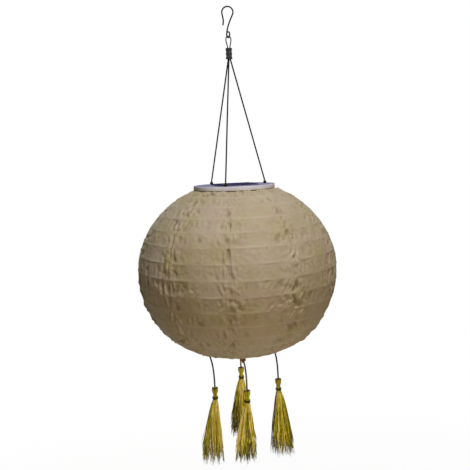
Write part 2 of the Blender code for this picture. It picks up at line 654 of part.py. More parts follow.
def hoop_places():
    """(radius, height) of every hoop, evenly spaced along the body's outline from top to bottom."""
    def outline(angle):
        return RIB_MAX_RADIUS * math.cos(angle), BODY_CENTRE_Z + BODY_HALF_HEIGHT * math.sin(angle)

    start = math.acos(TOP_HOOP_RADIUS / RIB_MAX_RADIUS)
    end = -math.acos(BOTTOM_HOOP_RADIUS / RIB_MAX_RADIUS)
    angles = [start + (end - start) * i / OUTLINE_STEPS for i in range(OUTLINE_STEPS + 1)]
    lengths = [0.0]
    for before, after in zip(angles, angles[1:]):
        lengths.append(lengths[-1] + math.dist(outline(before), outline(after)))
    places, wanted = [], 0
    for angle, length in zip(angles, lengths):
        if length >= lengths[-1] * wanted / (RIB_COUNT + 1) - 1e-9:
            places.append(outline(angle))
            wanted += 1
    places[0] = (TOP_HOOP_RADIUS, TOP_HOOP_Z)
    places[-1] = (BOTTOM_HOOP_RADIUS, BOTTOM_HOOP_Z)
    return places


def make_hoop(name, radius, z, parent=None):
    """Closed hoop of spring wire at one height."""
    bpy.ops.mesh.primitive_torus_add(
        major_radius=radius, minor_radius=HOOP_WIRE / 2, major_segments=HOOP_SIDES,
        minor_segments=HOOP_WIRE_SIDES, location=(0, 0, z))
    hoop = bpy.context.object
    hoop.name = name
    hoop.data.name = name
    for collection in hoop.users_collection:
        collection.objects.unlink(hoop)
    hoop.data.shade_smooth()
    show(hoop, HOOP_STEEL, parent)


def make_hoops(places, parent):
    """Top hoop, the ribs between and the bottom hoop."""
    make_hoop("top_hoop", *places[0])
    for number, place in enumerate(places[1:-1], 1):
        make_hoop(f"rib_hoop_{number}", *place)
    make_hoop("bottom_hoop", *places[-1], parent)


def fabric_point(radius, z, offset):
    """Point off the hoops' outline, on the skin's flat facets: along its normal, or level at the end hoops."""
    normal = Vector((radius / RIB_MAX_RADIUS ** 2, (z - BODY_CENTRE_Z) / BODY_HALF_HEIGHT ** 2)).normalized()
    if z in (TOP_HOOP_Z, BOTTOM_HOOP_Z):
        normal = Vector((1, 0))
    return (radius + offset * normal.x) / FACET_SHARE, z + offset * normal.y


def make_fabric(places, parent):
    """Cloth skin over the hoops, drawn in between them and open at both ends."""
    middles = [((r1 + r2) / 2, (z1 + z2) / 2) for (r1, z1), (r2, z2) in zip(places, places[1:])]
    faces = []
    for offset in (FABRIC_REACH + FABRIC_THICKNESS, FABRIC_REACH):
        ridges = [fabric_point(*place, offset) for place in places]
        drawn_in = [fabric_point(*place, offset - FABRIC_DIP) for place in middles]
        faces.append([point for pair in zip(ridges, drawn_in) for point in pair] + ridges[-1:])
    outer, inner = faces
    show(turned("fabric_cover", outer + inner[::-1], FABRIC_SIDES, closed=True), FABRIC, parent)


def cord_points(drop, drift):
    """Centreline of a tassel's cord, plumb below its knot and again above the head, with a set sideways."""
    knot, end = Vector((0, 0, -TASSEL_CORD_KNOT)), Vector((drift, 0, -drop))
    first = knot.lerp(end, CORD_START_SHARE) + Vector((drift / 2, 0, 0))
    second = Vector((drift, 0, -drop / 2))
    count = max(CORD_MIN_STEPS, round(drop / (CORD_STEP_WIDTHS * TASSEL_CORD_WIRE)))
    return [Vector((0, 0, 0)), knot] + bezier(knot, first, second, end, count)


def make_tassel(number, angle, drop, drift, length):
    """Cord, head, binding and fluted skirt of one tassel, hung from the bottom hoop."""
    carrier = pivot(f"tassel_{number}_pivot", polar(BOTTOM_HOOP_RADIUS, angle, BOTTOM_HOOP_Z))
    x, y, z = carrier.location
    cord_top = z - HOOP_WIRE / 2 - CLEARANCE
    head_top = cord_top - drop - CLEARANCE
    cord = wire(f"tassel_cord_{number}", cord_points(drop, drift), TASSEL_CORD_WIRE)
    cord.location = (x, y, cord_top)
    show(cord, CORD_GREEN, carrier)

    x += drift
    wide, neck = TASSEL_HEAD_WIDTH / 2, TASSEL_NECK_WIDTH / 2
    neck_top = -TASSEL_HEAD_LENGTH
    neck_bottom = neck_top - TASSEL_NECK_LENGTH
    profile = [(0, 0)]
    for step in range(1, 6):
        turn = math.pi * step / 6
        profile.append((wide * math.sin(turn) ** TASSEL_HEAD_ROUNDNESS, neck_top * (1 - math.cos(turn)) / 2))
    profile += [(neck, neck_top), (neck, neck_bottom), (0, neck_bottom)]
    head = turned(f"tassel_head_{number}", profile, 14)
    head.location = (x, y, head_top)
    show(head, TASSEL_GOLD, carrier)

    bore, ring = neck + CLEARANCE, TASSEL_BINDING_WIDTH / 2
    high, low = neck_top - CLEARANCE, neck_bottom + CLEARANCE
    edge = (ring - bore) / 3
    profile = [(bore, high), (ring - edge, high), (ring, high - edge), (ring, low + edge),
               (ring - edge, low), (bore, low)]
    binding = turned(f"tassel_binding_{number}", profile, 12, closed=True)
    binding.location = (x, y, head_top)
    show(binding, CORD_GREEN, carrier)
    make_skirt(number, carrier, (x, y, head_top + neck_bottom - CLEARANCE), length + neck_bottom)


def make_skirt(number, carrier, top, length):
    """Fluted, flared bunch of threads below a tassel's binding."""
    mesh = bpy.data.meshes.new(f"tassel_skirt_{number}")
    shape = bmesh.new()
    bmesh.ops.create_cone(
        shape, cap_ends=True, segments=2 * TASSEL_FLUTES, radius1=TASSEL_SKIRT_WIDTH / 2,
        radius2=TASSEL_SKIRT_TOP / 2, depth=length)
    slanted = [edge for edge in shape.edges if abs(edge.verts[0].co.z - edge.verts[1].co.z) > length / 2]
    bmesh.ops.subdivide_edges(shape, edges=slanted, cuts=4, use_grid_fill=True)
    for vertex in shape.verts:
        share = max(0.0, 0.5 - vertex.co.z / length)
        angle = math.atan2(vertex.co.y, vertex.co.x)
        swell = TASSEL_SKIRT_TOP / 2 + (TASSEL_SKIRT_WIDTH - TASSEL_SKIRT_TOP) / 2 * share ** TASSEL_SKIRT_FLARE
        flute = TASSEL_FLUTE_DEPTH * share * math.cos(TASSEL_FLUTES * angle)
        vertex.co.x = swell * (1 - TASSEL_FLUTE_DEPTH + flute) * math.cos(angle)
        vertex.co.y = swell * (1 - TASSEL_FLUTE_DEPTH + flute) * math.sin(angle)
    shape.to_mesh(mesh)
    shape.free()
    mesh.shade_smooth()
    skirt = bpy.data.objects.new(mesh.name, mesh)
    skirt.location = Vector(top) - Vector((0, 0, length / 2))
    show(skirt, TASSEL_GOLD, carrier)


def main():
    """Build the lantern from the hook down."""
    make_hook()
    hanger = pivot("hanger_pivot", (0, 0, SWING_Z))
    make_hanging_loop(hanger)
    make_ferrule(hanger)
    make_hanging_wires(hanger)
    make_cap_ring(hanger)
    make_solar_panel(hanger)
    make_cap_base(hanger)
    make_cap_screws(hanger)
    make_electronics(hanger)
    make_battery_cover(hanger)
    make_switch_slider(hanger)
    make_expander(hanger)
    places = hoop_places()
    make_hoops(places, hanger)
    make_fabric(places, hanger)
    tassels = zip(TASSEL_ANGLES, TASSEL_CORD_DROPS, TASSEL_CORD_DRIFTS, TASSEL_LENGTHS)
    for number, sizes in enumerate(tassels, 1):
        make_tassel(number, *sizes)
    bpy.context.view_layer.update()


main()
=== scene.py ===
"""Looks of a hanging solar lantern: wire hook, twisted cables, pale cap, cloth body and thread tassels.

Lengths are metres in the row frame, where +Z is up and the origin is inside the hook's crown. Fields that end
in _mm are millimetres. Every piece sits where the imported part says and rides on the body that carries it.
"""

import json
import logging
import math
import random
from dataclasses import dataclass, field
from enum import Enum

import bmesh
import bpy
from mathutils import Matrix, Vector, noise


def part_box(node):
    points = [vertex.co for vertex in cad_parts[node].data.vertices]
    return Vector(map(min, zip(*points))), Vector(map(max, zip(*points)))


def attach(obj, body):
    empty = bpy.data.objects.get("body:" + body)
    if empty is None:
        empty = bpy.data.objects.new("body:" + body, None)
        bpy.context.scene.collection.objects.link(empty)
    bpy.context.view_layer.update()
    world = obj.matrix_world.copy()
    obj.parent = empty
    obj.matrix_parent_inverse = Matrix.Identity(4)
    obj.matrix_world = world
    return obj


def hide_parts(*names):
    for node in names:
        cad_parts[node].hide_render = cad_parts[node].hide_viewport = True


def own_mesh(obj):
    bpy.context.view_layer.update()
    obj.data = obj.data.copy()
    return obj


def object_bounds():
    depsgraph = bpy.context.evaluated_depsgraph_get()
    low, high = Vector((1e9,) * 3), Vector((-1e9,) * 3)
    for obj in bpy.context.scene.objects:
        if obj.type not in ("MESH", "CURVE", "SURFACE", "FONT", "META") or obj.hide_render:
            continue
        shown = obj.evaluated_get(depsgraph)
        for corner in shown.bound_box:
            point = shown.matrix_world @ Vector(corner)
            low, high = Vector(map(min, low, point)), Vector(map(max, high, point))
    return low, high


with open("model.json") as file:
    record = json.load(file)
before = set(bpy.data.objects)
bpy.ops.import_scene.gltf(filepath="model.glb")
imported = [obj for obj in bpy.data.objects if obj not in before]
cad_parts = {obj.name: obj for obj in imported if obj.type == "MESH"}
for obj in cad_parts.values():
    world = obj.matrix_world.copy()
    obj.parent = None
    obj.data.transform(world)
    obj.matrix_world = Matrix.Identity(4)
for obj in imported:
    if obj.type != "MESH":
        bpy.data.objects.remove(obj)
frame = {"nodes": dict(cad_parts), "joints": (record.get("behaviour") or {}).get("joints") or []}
CAD_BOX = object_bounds()
LOG = logging.getLogger("lantern")
MM = 0.001
UP = Vector((0.0, 0.0, 1.0))
FULL_TURN = 2.0 * math.pi
# Turn of the solar panel about the vertical.
PANEL_TURN_DEG = 13.0
# Points closer than this are joined, in metres.
WELD = 1e-6
# Least length that another is divided by, in metres.
LEAST = 1e-12
# Faces that meet at a smaller angle are joined into one.
FLAT_DEG = 1.0
# Edges sharper than this are rounded.
SHARP_DEG = 50.0


class Slot(Enum):
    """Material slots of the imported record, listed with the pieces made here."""

    HOOK_WIRE = "black_wire"
    CABLE = "cable"
    FERRULE = "crimp_metal"
    CAP = "cap_plastic"
    BASE = "base_plastic"
    PANEL = "solar_cell"
    STEEL = "spring_steel"
    LENS = "led_lens"
    SWITCH = "switch_plastic"
    HOOP = "hoop_steel"
    FABRIC = "fabric"
    CORD = "cord"
    THREAD = "thread"


def linear(colour: str) -> tuple[float, float, float, float]:
    """Turn an sRGB hex colour into linear values.

    Args:
        colour: Six hex digits, with or without a leading hash.

    Returns:
        Red, green, blue and an alpha of 1.
    """
    digits = colour.lstrip("#")
    shares = [int(digits[i:i + 2], 16) / 255 for i in (0, 2, 4)]
    values = [s / 12.92 if s <= 0.04045 else ((s + 0.055) / 1.055) ** 2.4 for s in shares]
    return (*values, 1.0)


def add_node(tree: bpy.types.NodeTree, kind: str, settings: dict | None = None,
             links: dict | None = None) -> bpy.types.Node:
    """Add one node to a tree, with its settings and links.

    Args:
        tree: The tree that takes the node.
        kind: The node's type, such as ShaderNodeBump.
        settings: Values by property name, by input name or by input number.
        links: Output sockets by the name or number of the input that they feed.

    Returns:
        The new node.
    """
    node = tree.nodes.new(kind)
    for key, value in (settings or {}).items():
        if isinstance(key, str) and hasattr(node, key):
            setattr(node, key, value)
        else:
            node.inputs[key].default_value = value
    for key, socket in (links or {}).items():
        tree.links.new(socket, node.inputs[key])
    return node


# Numbers of the colour sockets on Blender's mix node.
MIX_A, MIX_B, MIX_RESULT = 6, 7, 2
# Noise values between which one patch of tone turns into the next.
PATCH_EDGES = (0.35, 0.65)
# Share by which the roughness of a surface differs from patch to patch.
GLOSS_SPREAD = 0.15
# Strength of the bump that a surface's grain makes.
GRAIN_STRENGTH = 0.6
# Length of one band of Blender's wave texture at a scale of 1.
WAVE_LENGTH = math.pi / 10


@dataclass(frozen=True)
class Finish:
    """A surface whose tone, gloss and grain vary a little, as on moulded, drawn or coated pieces.

    Attributes:
        name: Common name of the material and how its surface was made.
        colour: Main colour, sRGB hex.
        shade: Second tone that patches of the surface take.
        patch_mm: Width of a patch.
        grain_mm: Width of one grain of the surface.
        grain_height_mm: Height of a grain.
        roughness: Middle roughness.
        metallic: 1 for bare metal.
        coat: Strength of a clear coat.
        transmission: Share of light that passes through.
        specular: Strength of the plain reflection, 0.5 for most plastics.
    """

    name: str
    colour: str
    shade: str
    patch_mm: float
    grain_mm: float
    grain_height_mm: float
    roughness: float
    metallic: float = 0.0
    coat: float = 0.0
    transmission: float = 0.0
    specular: float = 0.5

    def material(self) -> bpy.types.Material:
        """Return the finish's material, made at its first use."""
        made = bpy.data.materials.get(self.name)
        if made is not None:
            return made
        made = bpy.data.materials.new(self.name)
        made.use_nodes = True
        tree = made.node_tree
        shader = tree.nodes["Principled BSDF"]
        for socket, value in (
                ("Metallic", self.metallic), ("Coat Weight", self.coat), ("Roughness", self.roughness),
                ("Transmission Weight", self.transmission), ("Specular IOR Level", self.specular)):
            shader.inputs[socket].default_value = value
        self.dress(tree, shader)
        return made

    def patches(self, tree: bpy.types.NodeTree, place: bpy.types.NodeSocket, width_mm: float,
                detail: float = 4.0) -> bpy.types.NodeSocket:
        """Return the factor of cloudy patches of a width."""
        settings = {"Scale": 1.0 / (width_mm * MM), "Detail": detail, "Roughness": 0.6}
        return add_node(tree, "ShaderNodeTexNoise", settings, {"Vector": place}).outputs["Fac"]

    def blend(self, tree: bpy.types.NodeTree, factor: bpy.types.NodeSocket, first: object,
              second: object) -> bpy.types.NodeSocket:
        """Mix two colours, each a hex value or a socket.

        Args:
            tree: The material's tree.
            factor: Share of the second colour.
            first: First colour.
            second: Second colour.

        Returns:
            The mixed colour's socket.
        """
        settings: dict = {"data_type": "RGBA"}
        links: dict = {0: factor}
        for number, colour in ((MIX_A, first), (MIX_B, second)):
            if isinstance(colour, str):
                settings[number] = linear(colour)
            else:
                links[number] = colour
        return add_node(tree, "ShaderNodeMix", settings, links).outputs[MIX_RESULT]

    def ramp(self, tree: bpy.types.NodeTree, factor: bpy.types.NodeSocket, low: float,
             high: float, start: float = 0.0, end: float = 1.0) -> bpy.types.NodeSocket:
        """Return a factor that runs from start to end between two values of another."""
        settings = {"From Min": low, "From Max": high, "To Min": start, "To Max": end}
        return add_node(tree, "ShaderNodeMapRange", settings, {"Value": factor}).outputs["Result"]

    def scaled(self, tree: bpy.types.NodeTree, factor: bpy.types.NodeSocket,
               most: float) -> bpy.types.NodeSocket:
        """Return a factor that reaches most where another reaches 1."""
        return self.ramp(tree, factor, 0.0, 1.0, 0.0, most)

    def painted(self, tree: bpy.types.NodeTree, layer: str) -> bpy.types.NodeSocket:
        """Return the value that the mesh's points hold in a layer."""
        return add_node(tree, "ShaderNodeAttribute", {"attribute_name": layer}).outputs["Fac"]

    def dress(self, tree: bpy.types.NodeTree, shader: bpy.types.Node) -> None:
        """Give the shader its patches of tone and gloss and its fine grain."""
        place = add_node(tree, "ShaderNodeTexCoord").outputs["Object"]
        cloud = self.ramp(tree, self.patches(tree, place, self.patch_mm), *PATCH_EDGES)
        tree.links.new(self.blend(tree, cloud, self.colour, self.shade), shader.inputs["Base Color"])
        smooth, rough = (self.roughness * (1.0 + side * GLOSS_SPREAD) for side in (-1, 1))
        gloss = self.ramp(tree, cloud, 0.0, 1.0, smooth, min(1.0, rough))
        tree.links.new(gloss, shader.inputs["Roughness"])
        grain = self.patches(tree, place, self.grain_mm, 2.0)
        settings = {"Strength": GRAIN_STRENGTH, "Distance": self.grain_height_mm * MM}
        bump = add_node(tree, "ShaderNodeBump", settings, {"Height": grain})
        tree.links.new(bump.outputs["Normal"], shader.inputs["Normal"])


@dataclass(frozen=True)
class SolarResin(Finish):
    """Blue-black silicon strips under clear cast resin: dark, with thin silver fingers.

    Attributes:
        finger: Colour of the printed silver lines.
        strip_mm: Width of one cell strip.
        fingers: Number of cross lines in a length as long as a strip is wide.
        finger_mm: Width of a silver line.
        finger_share: How plainly the lines show through the resin.
    """

    finger: str = "#8C8FA6"
    strip_mm: float = 14.0
    fingers: int = 5
    finger_mm: float = 0.35
    finger_share: float = 0.45

    def dress(self, tree: bpy.types.NodeTree, shader: bpy.types.Node) -> None:
        """Draw the strips and their silver lines across the panel's own directions."""
        place = add_node(tree, "ShaderNodeTexCoord").outputs["Object"]
        turn = (0.0, 0.0, math.radians(PANEL_TURN_DEG))
        turned = add_node(tree, "ShaderNodeMapping", {"vector_type": "TEXTURE", "Rotation": turn}, {
            "Vector": place})
        sides = add_node(tree, "ShaderNodeSeparateXYZ", links={0: turned.outputs[0]})
        lines = []
        for axis, pitch_mm in (("X", self.strip_mm), ("Y", self.strip_mm / self.fingers)):
            wrapped = add_node(tree, "ShaderNodeMath", {
                "operation": "PINGPONG", 1: pitch_mm * MM / 2}, {0: sides.outputs[axis]})
            line = add_node(tree, "ShaderNodeMath", {
                "operation": "LESS_THAN", 1: self.finger_mm * MM / 2}, {0: wrapped.outputs[0]})
            lines.append(line.outputs[0])
        both = add_node(tree, "ShaderNodeMath", {"operation": "MAXIMUM"}, {0: lines[0], 1: lines[1]})
        cloud = self.ramp(tree, self.patches(tree, place, self.patch_mm), *PATCH_EDGES)
        silicon = self.blend(tree, cloud, self.colour, self.shade)
        faint = self.scaled(tree, both.outputs[0], self.finger_share)
        tree.links.new(self.blend(tree, faint, silicon, self.finger), shader.inputs["Base Color"])


@dataclass(frozen=True)
class TopShadedAbs(Finish):
    """Moulded ABS: its rim is pale and matt, and its upward face is painted a darker violet-grey as painted
    shade.

    Attributes:
        painted_top_shade: Tone of the upward face, painted darker as painted shade.
    """

    painted_top_shade: str = "#8A8694"

    def dress(self, tree: bpy.types.NodeTree, shader: bpy.types.Node) -> None:
        """Give the moulded surface its grain, then paint the upward face darker as painted shade."""
        super().dress(tree, shader)
        moulded = shader.inputs["Base Color"].links[0].from_socket
        upward = self.blend(tree, self.painted(tree, "painted_top_shade"), moulded, self.painted_top_shade)
        tree.links.new(upward, shader.inputs["Base Color"])


@dataclass(frozen=True)
class WovenNylon(Finish):
    """Plain-woven nylon, dyed khaki: matt, blotched by age, with wear and a painted highlight on its ribs and
    dust and painted shade in its creases.

    Attributes:
        warm: Tone of the patches that have turned taupe with age.
        crease_dust_and_shade: Tone of the deepest creases: dust and painted shade.
        rib_wear_and_highlight: Paler tone along the tops of the ribs: wear and a painted highlight.
        warm_share: How far a patch takes its faded tone.
        crease_dust_and_shade_share: How far a crease takes that dust and painted shade.
        rib_wear_and_highlight_share: How far a rib takes that wear and painted highlight.
        dye_edges: Noise values between which one tone of the dye turns into the other.
        blotch_mm: Width of the small blotches.
        blotch_edges: Noise values between which a blotch starts and is full.
        thread_mm: Spacing of the woven threads, drawn a few times as coarse as real so that it shows.
        thread_height_mm: Height of a thread.
        thread_strength: Strength of the bump that the threads make.
        crumple_strength: Strength of the bump that the small crumples make.
    """

    warm: str = "#A48F79"
    crease_dust_and_shade: str = "#5E5136"
    rib_wear_and_highlight: str = "#C6B99E"
    warm_share: float = 0.75
    crease_dust_and_shade_share: float = 0.35
    rib_wear_and_highlight_share: float = 0.28
    dye_edges: tuple[float, float] = (0.32, 0.68)
    blotch_mm: float = 22.0
    blotch_edges: tuple[float, float] = (0.32, 0.70)
    thread_mm: float = 1.1
    thread_height_mm: float = 0.12
    thread_strength: float = 0.35
    crumple_strength: float = 0.8

    def dress(self, tree: bpy.types.NodeTree, shader: bpy.types.Node) -> None:
        """Mix the dye's tones, the ribs' wear and painted highlight, the creases' dust and painted shade, and
        the weave.
        """
        place = add_node(tree, "ShaderNodeTexCoord")
        spot = place.outputs["Object"]
        wide = self.ramp(tree, self.patches(tree, spot, self.patch_mm), *self.dye_edges)
        small = self.ramp(tree, self.patches(tree, spot, self.blotch_mm, 6.0), *self.blotch_edges)
        colour = self.blend(tree, wide, self.colour, self.shade)
        for factor, share, tone in (
                (small, self.warm_share, self.warm),
                # creases darken with dust and painted shade
                (self.painted(tree, "crease"), self.crease_dust_and_shade_share, self.crease_dust_and_shade),
                # rib tops pale with wear and a painted highlight
                (self.painted(tree, "rib"), self.rib_wear_and_highlight_share, self.rib_wear_and_highlight)):
            colour = self.blend(tree, self.scaled(tree, factor, share), colour, tone)
        tree.links.new(colour, shader.inputs["Base Color"])
        threads = []
        for direction in ("X", "Y"):
            settings = {"bands_direction": direction, "Scale": WAVE_LENGTH / (self.thread_mm * MM),
                        "Distortion": 1.2, "Detail": 1.0, "Detail Scale": 0.4}
            bands = add_node(tree, "ShaderNodeTexWave", settings, {"Vector": place.outputs["UV"]})
            threads.append(bands.outputs["Fac"])
        weave = add_node(tree, "ShaderNodeMath", {"operation": "MULTIPLY"}, {0: threads[0], 1: threads[1]})
        settings = {"Strength": self.thread_strength, "Distance": self.thread_height_mm * MM}
        fine = add_node(tree, "ShaderNodeBump", settings, {"Height": weave.outputs[0]})
        crumple = self.patches(tree, spot, self.grain_mm, 5.0)
        settings = {"Strength": self.crumple_strength, "Distance": self.grain_height_mm * MM}
        coarse = add_node(tree, "ShaderNodeBump", settings, {
            "Height": crumple, "Normal": fine.outputs["Normal"]})
        tree.links.new(coarse.outputs["Normal"], shader.inputs["Normal"])


@dataclass(frozen=True)
class SpunThread(Finish):
    """Softly shining rayon thread in mixed golds, each strand of its own tone, with dark frayed tips.

    Attributes:
        tones: Colours that the strands take, from the darkest to the palest.
        tip: Colour of the frayed ends.
        tip_share: How far a tip takes that colour.
        mottle_edges: Noise values between which a strand turns from darker to paler.
        mottle: How far that moves a strand's tone.
    """

    tones: tuple[str, ...] = ("#574412", "#977A14", "#98A012", "#CBBE1C", "#E4C93A", "#F4E6A0")
    tip: str = "#2E2B16"
    tip_share: float = 0.85
    mottle_edges: tuple[float, float] = (0.3, 0.7)
    mottle: float = 0.18

    def dress(self, tree: bpy.types.NodeTree, shader: bpy.types.Node) -> None:
        """Colour each strand by its own tone and darken its tip."""
        place = add_node(tree, "ShaderNodeTexCoord").outputs["Object"]
        patches = self.patches(tree, place, self.patch_mm)
        mottled = self.ramp(tree, patches, *self.mottle_edges, -self.mottle, self.mottle)
        shifted = add_node(tree, "ShaderNodeMath", {"operation": "ADD"}, {
            0: self.painted(tree, "tone"), 1: mottled})
        ramp = add_node(tree, "ShaderNodeValToRGB", links={0: shifted.outputs[0]})
        stops = ramp.color_ramp.elements
        for number, colour in enumerate(self.tones):
            share = number / (len(self.tones) - 1)
            stop = stops[0] if number == 0 else stops[-1] if share == 1.0 else stops.new(share)
            stop.color = linear(colour)
        dark = self.scaled(tree, self.painted(tree, "tip"), self.tip_share)
        tree.links.new(self.blend(tree, dark, ramp.outputs["Color"], self.tip), shader.inputs["Base Color"])


# Powder-coated hook and feet: an even, nearly dull black with the faint bumps of baked powder.
COATED_WIRE = Finish("black_powder_coated_wire", "#0B0B0C", "#161618", 6.0, 0.5, 0.03, 0.5, specular=0.12)
# Twisted cable: black and dull, so that only the lay of its strands catches light.
TWISTED_STEEL = Finish("black_twisted_steel_cable", "#0B0C0B", "#181917", 3.0, 0.4, 0.02, 0.6, specular=0.1)
# Crimp sleeve: dark metal with a soft sheen in its two pinches.
CRIMPED_ALLOY = Finish("blackened_crimped_aluminium", "#1C1C1B", "#343432", 4.0, 0.6, 0.03, 0.4, 0.7)
# Cap: pale matt rim under a top painted violet-grey as painted shade. It mirrors nothing, so its edges stay
# clear on white.
SILVER_ABS = TopShadedAbs("silver_abs_with_painted_top_shade", "#D8D4CF", "#C9C4C4", 18.0, 0.7, 0.02, 0.55, specular=0.0)
# Tub and battery door: matt off-white plastic with a fine moulded grain.
WHITE_ABS = Finish("moulded_white_abs", "#CFCDC6", "#C5C2B9", 20.0, 0.8, 0.03, 0.5, specular=0.0)
# Switch knob: plain black plastic with a low shine.
BLACK_ABS = Finish("moulded_black_abs", "#191919", "#242424", 8.0, 0.6, 0.03, 0.5)
# Gasket: open-pored foam that takes all light.
BLACK_FOAM = Finish("die_cut_black_foam", "#1C1C1C", "#2A2A2A", 3.0, 0.5, 0.1, 0.95)
# Circuit board: dark green under a thin clear mask.
GLASS_FIBRE_BOARD = Finish("solder_masked_glass_fibre_board", "#1E5A34", "#184A2B", 9.0, 0.5, 0.02, 0.35,
                           coat=0.3)
# Cell: tight green film with a smooth shine.
SHRINK_SLEEVE = Finish("green_shrink_sleeve", "#3C6E50", "#32604A", 10.0, 0.8, 0.02, 0.3)
# Screws and contacts: bright, slightly warm plating.
NICKEL_STEEL = Finish("nickel_plated_steel", "#B9B6AC", "#9C998F", 5.0, 0.4, 0.01, 0.28, 1.0)
# Hoops: wire wrapped in strips of the skin's cloth, so that a bare hoop reads as part of the skin.
WRAPPED_WIRE = Finish("cloth_wrapped_spring_wire", "#A39678", "#8A7E60", 6.0, 0.8, 0.1, 0.85, specular=0.2)
# Expander: grey-brown spring wire with a dull oiled shine.
SPRING_WIRE = Finish("oil_tempered_spring_wire", "#57544E", "#403D38", 7.0, 0.4, 0.02, 0.45, 1.0)
# Lamp lenses: cloudy warm resin that lets some light in.
LENS_RESIN = Finish("cast_warm_white_resin", "#F0E6C8", "#E6D6A8", 3.0, 0.5, 0.005, 0.12, transmission=0.35)
# Solar panel: blue-black strips with faint silver lines.
SOLAR_CELL = SolarResin("resin_cast_silicon_cells", "#2A2739", "#35314C", 9.0, 1.0, 0.01, 0.3, specular=0.0)
# Skin: matt khaki cloth, blotched, with dust and painted shade in its creases and wear and a painted
# highlight on its ribs.
KHAKI_NYLON = WovenNylon("plain_woven_khaki_nylon", "#AB9E80", "#9A8E5C", 52.0, 4.0, 0.8, 0.8, specular=0.2)
# Tassels: softly shining strands from brown over gold to straw.
GOLD_THREAD = SpunThread("spun_gold_rayon_thread", "#A08A2C", "#7D6E1E", 7.0, 0.5, 0.02, 0.5, specular=0.25)
# Cords of the outer tassels: dark green, with a soft nap that dulls them; this darker copy of the one cord is
# painted shade.
GREEN_CORD = Finish("twisted_dark_green_cord", "#2C3325", "#1D2319", 2.0, 0.4, 0.08, 0.8, specular=0.2)
# Bindings: dark olive turns that part the head from the skirt.
OLIVE_THREAD = Finish("wound_dark_olive_thread", "#4F431A", "#2A240E", 1.5, 0.4, 0.05, 0.7, specular=0.2)
# Cords of the front and back tassels: the same cord in a warm brown, its lit copy.
BROWN_CORD = Finish("twisted_brown_cord", "#7C5A2E", "#4C361B", 2.0, 0.4, 0.08, 0.8, specular=0.2)


@dataclass(frozen=True)
class Piece:
    """What one finished piece is called, wears, rides on and stands for.

    Attributes:
        name: The piece's name.
        finish: Its finish.
        body: The body that carries it.
        slot: The record's slot for its finish. Not used.
        nodes: CAD nodes that it stands for.
        sharp_deg: Angle past which an edge is shaded sharp.
    """

    name: str
    finish: Finish
    body: str
    slot: Slot
    nodes: tuple[str, ...] = ()
    sharp_deg: float = 40.0

    def make(self, shape: bmesh.types.BMesh) -> bpy.types.Object:
        """Turn a finished bmesh into the piece, in place and riding on its body.

        Args:
            shape: The bmesh, which is freed.

        Returns:
            The piece's object.
        """
        mesh = bpy.data.meshes.new(self.name)
        shape.to_mesh(mesh)
        shape.free()
        mesh.shade_smooth()
        mesh.set_sharp_from_angle(angle=math.radians(self.sharp_deg))
        mesh.materials.append(self.finish.material())
        obj = bpy.data.objects.new(self.name, mesh)
        bpy.context.scene.collection.objects.link(obj)
        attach(obj, self.body)
        if self.nodes:
            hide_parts(*self.nodes)
        LOG.info("%s: %d faces, on %s", self.name, len(mesh.polygons), self.body)
        return obj


def polar(radius: float, angle: float, z: float = 0.0) -> Vector:
    """Return the point at a radius and an angle about the lantern's axis."""
    return Vector((radius * math.cos(angle), radius * math.sin(angle), z))


def arc(centre: Vector, across: Vector, up: Vector, radius: float, start: float, end: float,
        count: int) -> list[Vector]:
    """Return points on a circle in the plane of two unit directions.

    Args:
        centre: The circle's centre.
        across: Direction of angle 0.
        up: Direction of a quarter turn.
        radius: The circle's radius.
        start: First angle.
        end: Last angle.
        count: Number of steps.

    Returns:
        count + 1 points.
    """
    angles = [start + (end - start) * i / count for i in range(count + 1)]
    return [centre + radius * (math.cos(a) * across + math.sin(a) * up) for a in angles]


def bezier(start: Vector, first: Vector, second: Vector, end: Vector, count: int) -> list[Vector]:
    """Return the points of a cubic curve, without its first one."""
    points = []
    for step in range(1, count + 1):
        t = step / count
        s = 1 - t
        points.append(s ** 3 * start + 3 * s * s * t * first + 3 * s * t * t * second + t ** 3 * end)
    return points


def distances(points: list[Vector]) -> list[float]:
    """Return how far each point of a line is from its start, along the line."""
    found = [0.0]
    for before, after in zip(points, points[1:]):
        found.append(found[-1] + (after - before).length)
    return found


def resample(points: list[Vector], step: float) -> list[Vector]:
    """Return points about a step apart along a line."""
    lengths = distances(points)
    count = max(1, round(lengths[-1] / step))
    found, at = [], 0
    for i in range(count + 1):
        wanted = lengths[-1] * i / count
        while at < len(lengths) - 2 and lengths[at + 1] < wanted:
            at += 1
        share = (wanted - lengths[at]) / max(lengths[at + 1] - lengths[at], LEAST)
        found.append(points[at].lerp(points[at + 1], min(1.0, share)))
    return found


